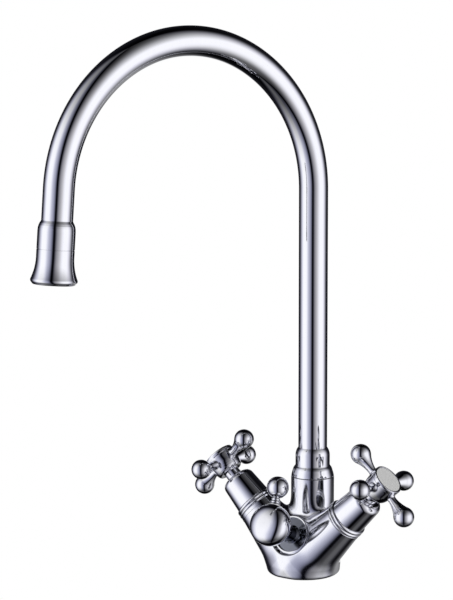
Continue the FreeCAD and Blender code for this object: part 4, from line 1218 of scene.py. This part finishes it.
@dataclass(frozen=True)
class CarriedNodes:
    """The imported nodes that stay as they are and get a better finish."""

    finishes: tuple[Finish, ...] = CARRIED_FINISHES

    def build(self) -> None:
        """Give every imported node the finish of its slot."""
        finish_of = {finish.slot.value: finish for finish in self.finishes}
        slots = {row["node"]: row["material_slot"] for row in frame["record"]["subparts"]}
        for name, node in frame["nodes"].items():
            node.data.materials.clear()
            node.data.materials.append(finish_of[slots[name]].material())


# Studio

FALL_BELOW: Rows = ((-90, 0.05), (-62, 0.12), (-52, 0.28), (-42, 0.55), (-32, 0.80), (-22, 0.95), (-12, 1.0))


def ramp_stops(rows: Sequence[tuple[float, float | Triple]], span: float) -> list[tuple[float, Triple]]:
    """Ramp stops from (angle, share or rgb) rows, for angles from -span to span."""
    return [((a + span) / (2 * span), c if isinstance(c, tuple) else (c, c, c)) for a, c in rows]


@dataclass(frozen=True)
class SoftboxSky:
    """Two wide soft boxes either side of the camera, with a narrow dark gap between them.

    Attributes:
        heading: Compass angle of the camera's side, seen from the tap, in degrees.
        around: (angle to the right of the camera, linear rgb) of the light at eye height.
        upward: (angle above eye height, share) of the light's fall-off on the right.
        upward_left: The same on the left, where the soft box is taller.
        left_side: (angle to the right of the camera, share) of the left fall-off.
        ground: (angle above eye height, share) of the pale ground seen behind the tap.
        ground_aim: Where that ground lies, as shares of the right and of the camera's side.
        ground_span: Cosines of the angle from there at which it starts and is full.
        strip_around: (angle to the right of the camera, share) of the light strip behind the tap.
        strip_upward: (angle above eye height, share) of the same strip.
    """

    heading: float = 30.24
    around: tuple[tuple[float, Triple], ...] = (
        (-180, (0.012, 0.012, 0.016)), (-150, (0.012, 0.012, 0.016)),
        (-127, (0.012, 0.012, 0.018)), (-120, (0.06, 0.06, 0.08)), (-113, (0.17, 0.17, 0.21)),
        (-102, (0.48, 0.48, 0.56)), (-90, (0.80, 0.81, 0.90)), (-80, (1.04, 1.04, 1.06)),
        (-58, (1.04, 1.04, 1.06)), (-50, (0.97, 0.97, 1.02)), (-41, (0.70, 0.71, 0.82)),
        (-33, (0.50, 0.51, 0.62)), (-24, (0.37, 0.38, 0.49)), (-15, (0.19, 0.195, 0.27)),
        (-7, (0.004, 0.004, 0.007)), (3, (0.002, 0.002, 0.004)), (8, (0.09, 0.09, 0.11)),
        (16, (0.27, 0.265, 0.29)), (26, (0.42, 0.415, 0.44)), (36, (0.61, 0.60, 0.63)),
        (48, (0.90, 0.90, 0.95)), (58, (1.03, 1.03, 1.07)), (82, (1.03, 1.03, 1.07)),
        (92, (0.86, 0.85, 0.93)), (102, (0.56, 0.56, 0.62)), (113, (0.19, 0.19, 0.22)),
        (121, (0.06, 0.06, 0.07)), (129, (0.012, 0.012, 0.016)), (180, (0.012, 0.012, 0.016)),
    )
    upward: Rows = FALL_BELOW + (
        (11, 1.0), (18, 0.88), (25, 0.70), (33, 0.52), (43, 0.33), (53, 0.18), (63, 0.09), (78, 0.03),
        (90, 0.02),
    )
    upward_left: Rows = FALL_BELOW + (
        (14, 1.0), (24, 0.95), (34, 0.84), (43, 0.62), (53, 0.40), (63, 0.24), (76, 0.10), (90, 0.04),
    )
    left_side: Rows = ((-40, 1.0), (-8, 0.0))
    ground: Rows = ((-90, 0.0), (-58, 0.0), (-44, 0.12), (-30, 0.30), (-20, 0.26), (-12, 0.0), (90, 0.0))
    ground_aim: tuple[float, float] = (0.5, -0.866)
    ground_span: tuple[float, float] = (0.55, 0.9)
    strip_around: Rows = ((-180, 0.95), (-172, 0.85), (-164, 0.0), (171, 0.0), (176, 0.85), (180, 0.95))
    strip_upward: Rows = ((-29, 0.0), (-20, 1.0), (8, 1.0), (17, 0.0))

    def build(self) -> None:
        """Fill the scene's world."""
        world = bpy.data.worlds.new("soft_studio")
        bpy.context.scene.world = world
        world.use_nodes = True
        world.node_tree.nodes.clear()
        canvas = NodeCanvas(world.node_tree)
        towards = canvas.add("TexCoord").outputs["Generated"]
        angle = math.radians(self.heading)
        right, front, height = (canvas.vector("DOT_PRODUCT", towards, axis) for axis in (
            (math.cos(angle), math.sin(angle), 0), (math.sin(angle), -math.cos(angle), 0), (0, 0, 1)))
        turn = canvas.math("MULTIPLY_ADD", canvas.math("ARCTAN2", right, front), 0.5 / math.pi, 0.5)
        rise = canvas.math("MULTIPLY_ADD", canvas.math("ARCSINE", height), 1 / math.pi, 0.5)
        boxes, leftward, strip_across = (
            canvas.ramp(turn, ramp_stops(rows, 180))
            for rows in (self.around, self.left_side, self.strip_around))
        low, high, ground, strip_high = (
            canvas.ramp(rise, ramp_stops(rows, 90))
            for rows in (self.upward, self.upward_left, self.ground, self.strip_upward))
        fall = canvas.vector("MULTIPLY_ADD", leftward, canvas.vector("SUBTRACT", high, low), low)
        behind = canvas.blend(right, self.ground_aim[0], front, self.ground_aim[1])
        floor_light = canvas.vector("SCALE", ground, canvas.worked("MapRange", behind, *self.ground_span))
        low_light = canvas.vector("ADD", floor_light, canvas.vector("MULTIPLY", strip_across, strip_high))
        total = canvas.vector("ADD", canvas.vector("MULTIPLY", boxes, fall), low_light)
        paper = canvas.worked("Background", (1, 1, 1, 1), 1.0)
        surface = canvas.for_camera(canvas.worked("Background", total, 1.0), paper)
        canvas.link(surface, canvas.add("OutputWorld").inputs["Surface"])


@dataclass(frozen=True)
class Studio:
    """Pale floor, soft light and the photograph's camera.

    Attributes:
        position: Place of the camera, in millimetres. The floor's and the lamp's sizes are metres.
        focal_pixels: Focal length, on a picture whose longer side has frame_pixels.
    """

    position: Triple = (655.4, -1001.6, 330.4)
    azimuth: float = 32.94
    pitch: float = 7.121
    yaw: float = 2.700
    roll: float = -0.146
    focal_pixels: float = 1855.5
    frame_pixels: float = 600.0
    floor_half: float = 4.0
    floor_level: float = -0.0003
    floor_colour: Triple = (0.85, 0.85, 0.86)
    floor_roughness: float = 0.6
    lamp_at: Triple = (0.9, -0.7, 1.1)
    lamp_aim: Triple = (0, 0, 0.1)
    lamp_size: float = 0.9
    lamp_watts: float = 17.0

    def camera(self) -> None:
        """Add the camera where it was fitted to the photograph."""
        az, pitch, roll = (math.radians(angle) for angle in (self.azimuth, self.pitch, self.roll))
        ahead = Vector((-math.sin(az) * math.cos(pitch), math.cos(az) * math.cos(pitch), -math.sin(pitch)))
        ahead.rotate(Matrix.Rotation(math.radians(self.yaw), 3, "Z"))
        right = ahead.cross(Vector((0, 0, 1))).normalized()
        up = right.cross(ahead)
        rolled = right * math.cos(roll) + up * math.sin(roll)
        upright = up * math.cos(roll) - right * math.sin(roll)
        data = bpy.data.cameras.new("camera")
        data.sensor_width = 36.0
        data.lens = self.focal_pixels * data.sensor_width / self.frame_pixels
        data.clip_start, data.clip_end = 0.05, 20.0
        camera = in_scene("camera", data)
        turn = Matrix((rolled, upright, -ahead)).transposed().to_4x4()
        camera.matrix_world = Matrix.Translation(Vector(self.position) * MM) @ turn
        bpy.context.scene.camera = camera

    def floor(self) -> None:
        """Add the pale floor, white to the camera as in the photograph."""
        mesh = bpy.data.meshes.new("floor")
        corners = [(x * self.floor_half, y * self.floor_half, self.floor_level)
                   for x, y in ((-1, -1), (1, -1), (1, 1), (-1, 1))]
        mesh.from_pydata(corners, [], [(0, 1, 2, 3)])
        floor = in_scene("floor", mesh)
        material, canvas, shader = new_material("floor_pale")
        shader.inputs["Base Color"].default_value = (*self.floor_colour, 1)
        shader.inputs["Roughness"].default_value = self.floor_roughness
        surface = canvas.for_camera(shader.outputs[0], canvas.worked("Emission", (1, 1, 1, 1), 1.0))
        canvas.link(surface, material.node_tree.nodes["Material Output"].inputs["Surface"])
        mesh.materials.append(material)
        floor.visible_glossy = False
        floor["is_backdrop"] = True

    def key_light(self) -> None:
        """Add one large soft light for the matt parts."""
        data = bpy.data.lights.new("soft_key", "AREA")
        data.shape, data.size, data.energy = "DISK", self.lamp_size, self.lamp_watts
        lamp = in_scene("soft_key", data)
        lamp.location = self.lamp_at
        lamp.rotation_euler = (Vector(self.lamp_aim) - lamp.location).to_track_quat("-Z", "Y").to_euler()
        lamp.visible_glossy = False

    def build(self) -> None:
        """Add everything round the object."""
        self.camera()
        self.floor()
        self.key_light()
        SoftboxSky().build()
        bpy.context.scene.view_settings.view_transform = "Standard"


def main() -> None:
    """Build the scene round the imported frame."""
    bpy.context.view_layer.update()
    assemblies = [
        CarriedNodes(), CastBody(), Spout(), Nozzle(), SideValve(Side.HOT), SideValve(Side.COLD),
        CrossHandle(Side.HOT, 2.8), CrossHandle(Side.COLD, 4.5), FilterValve(), Studio(),
    ]
    for assembly in assemblies:
        assembly.build()
        log.info("built %s", type(assembly).__name__)
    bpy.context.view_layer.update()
    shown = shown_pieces()
    for piece in shown:
        log.info("%s in %s", piece.name, piece.active_material.name)
    log.info("%d pieces are shown", len(shown))


if __name__ == "__main__":
    logging.basicConfig(level=logging.INFO, format="%(name)s: %(message)s")
    main()
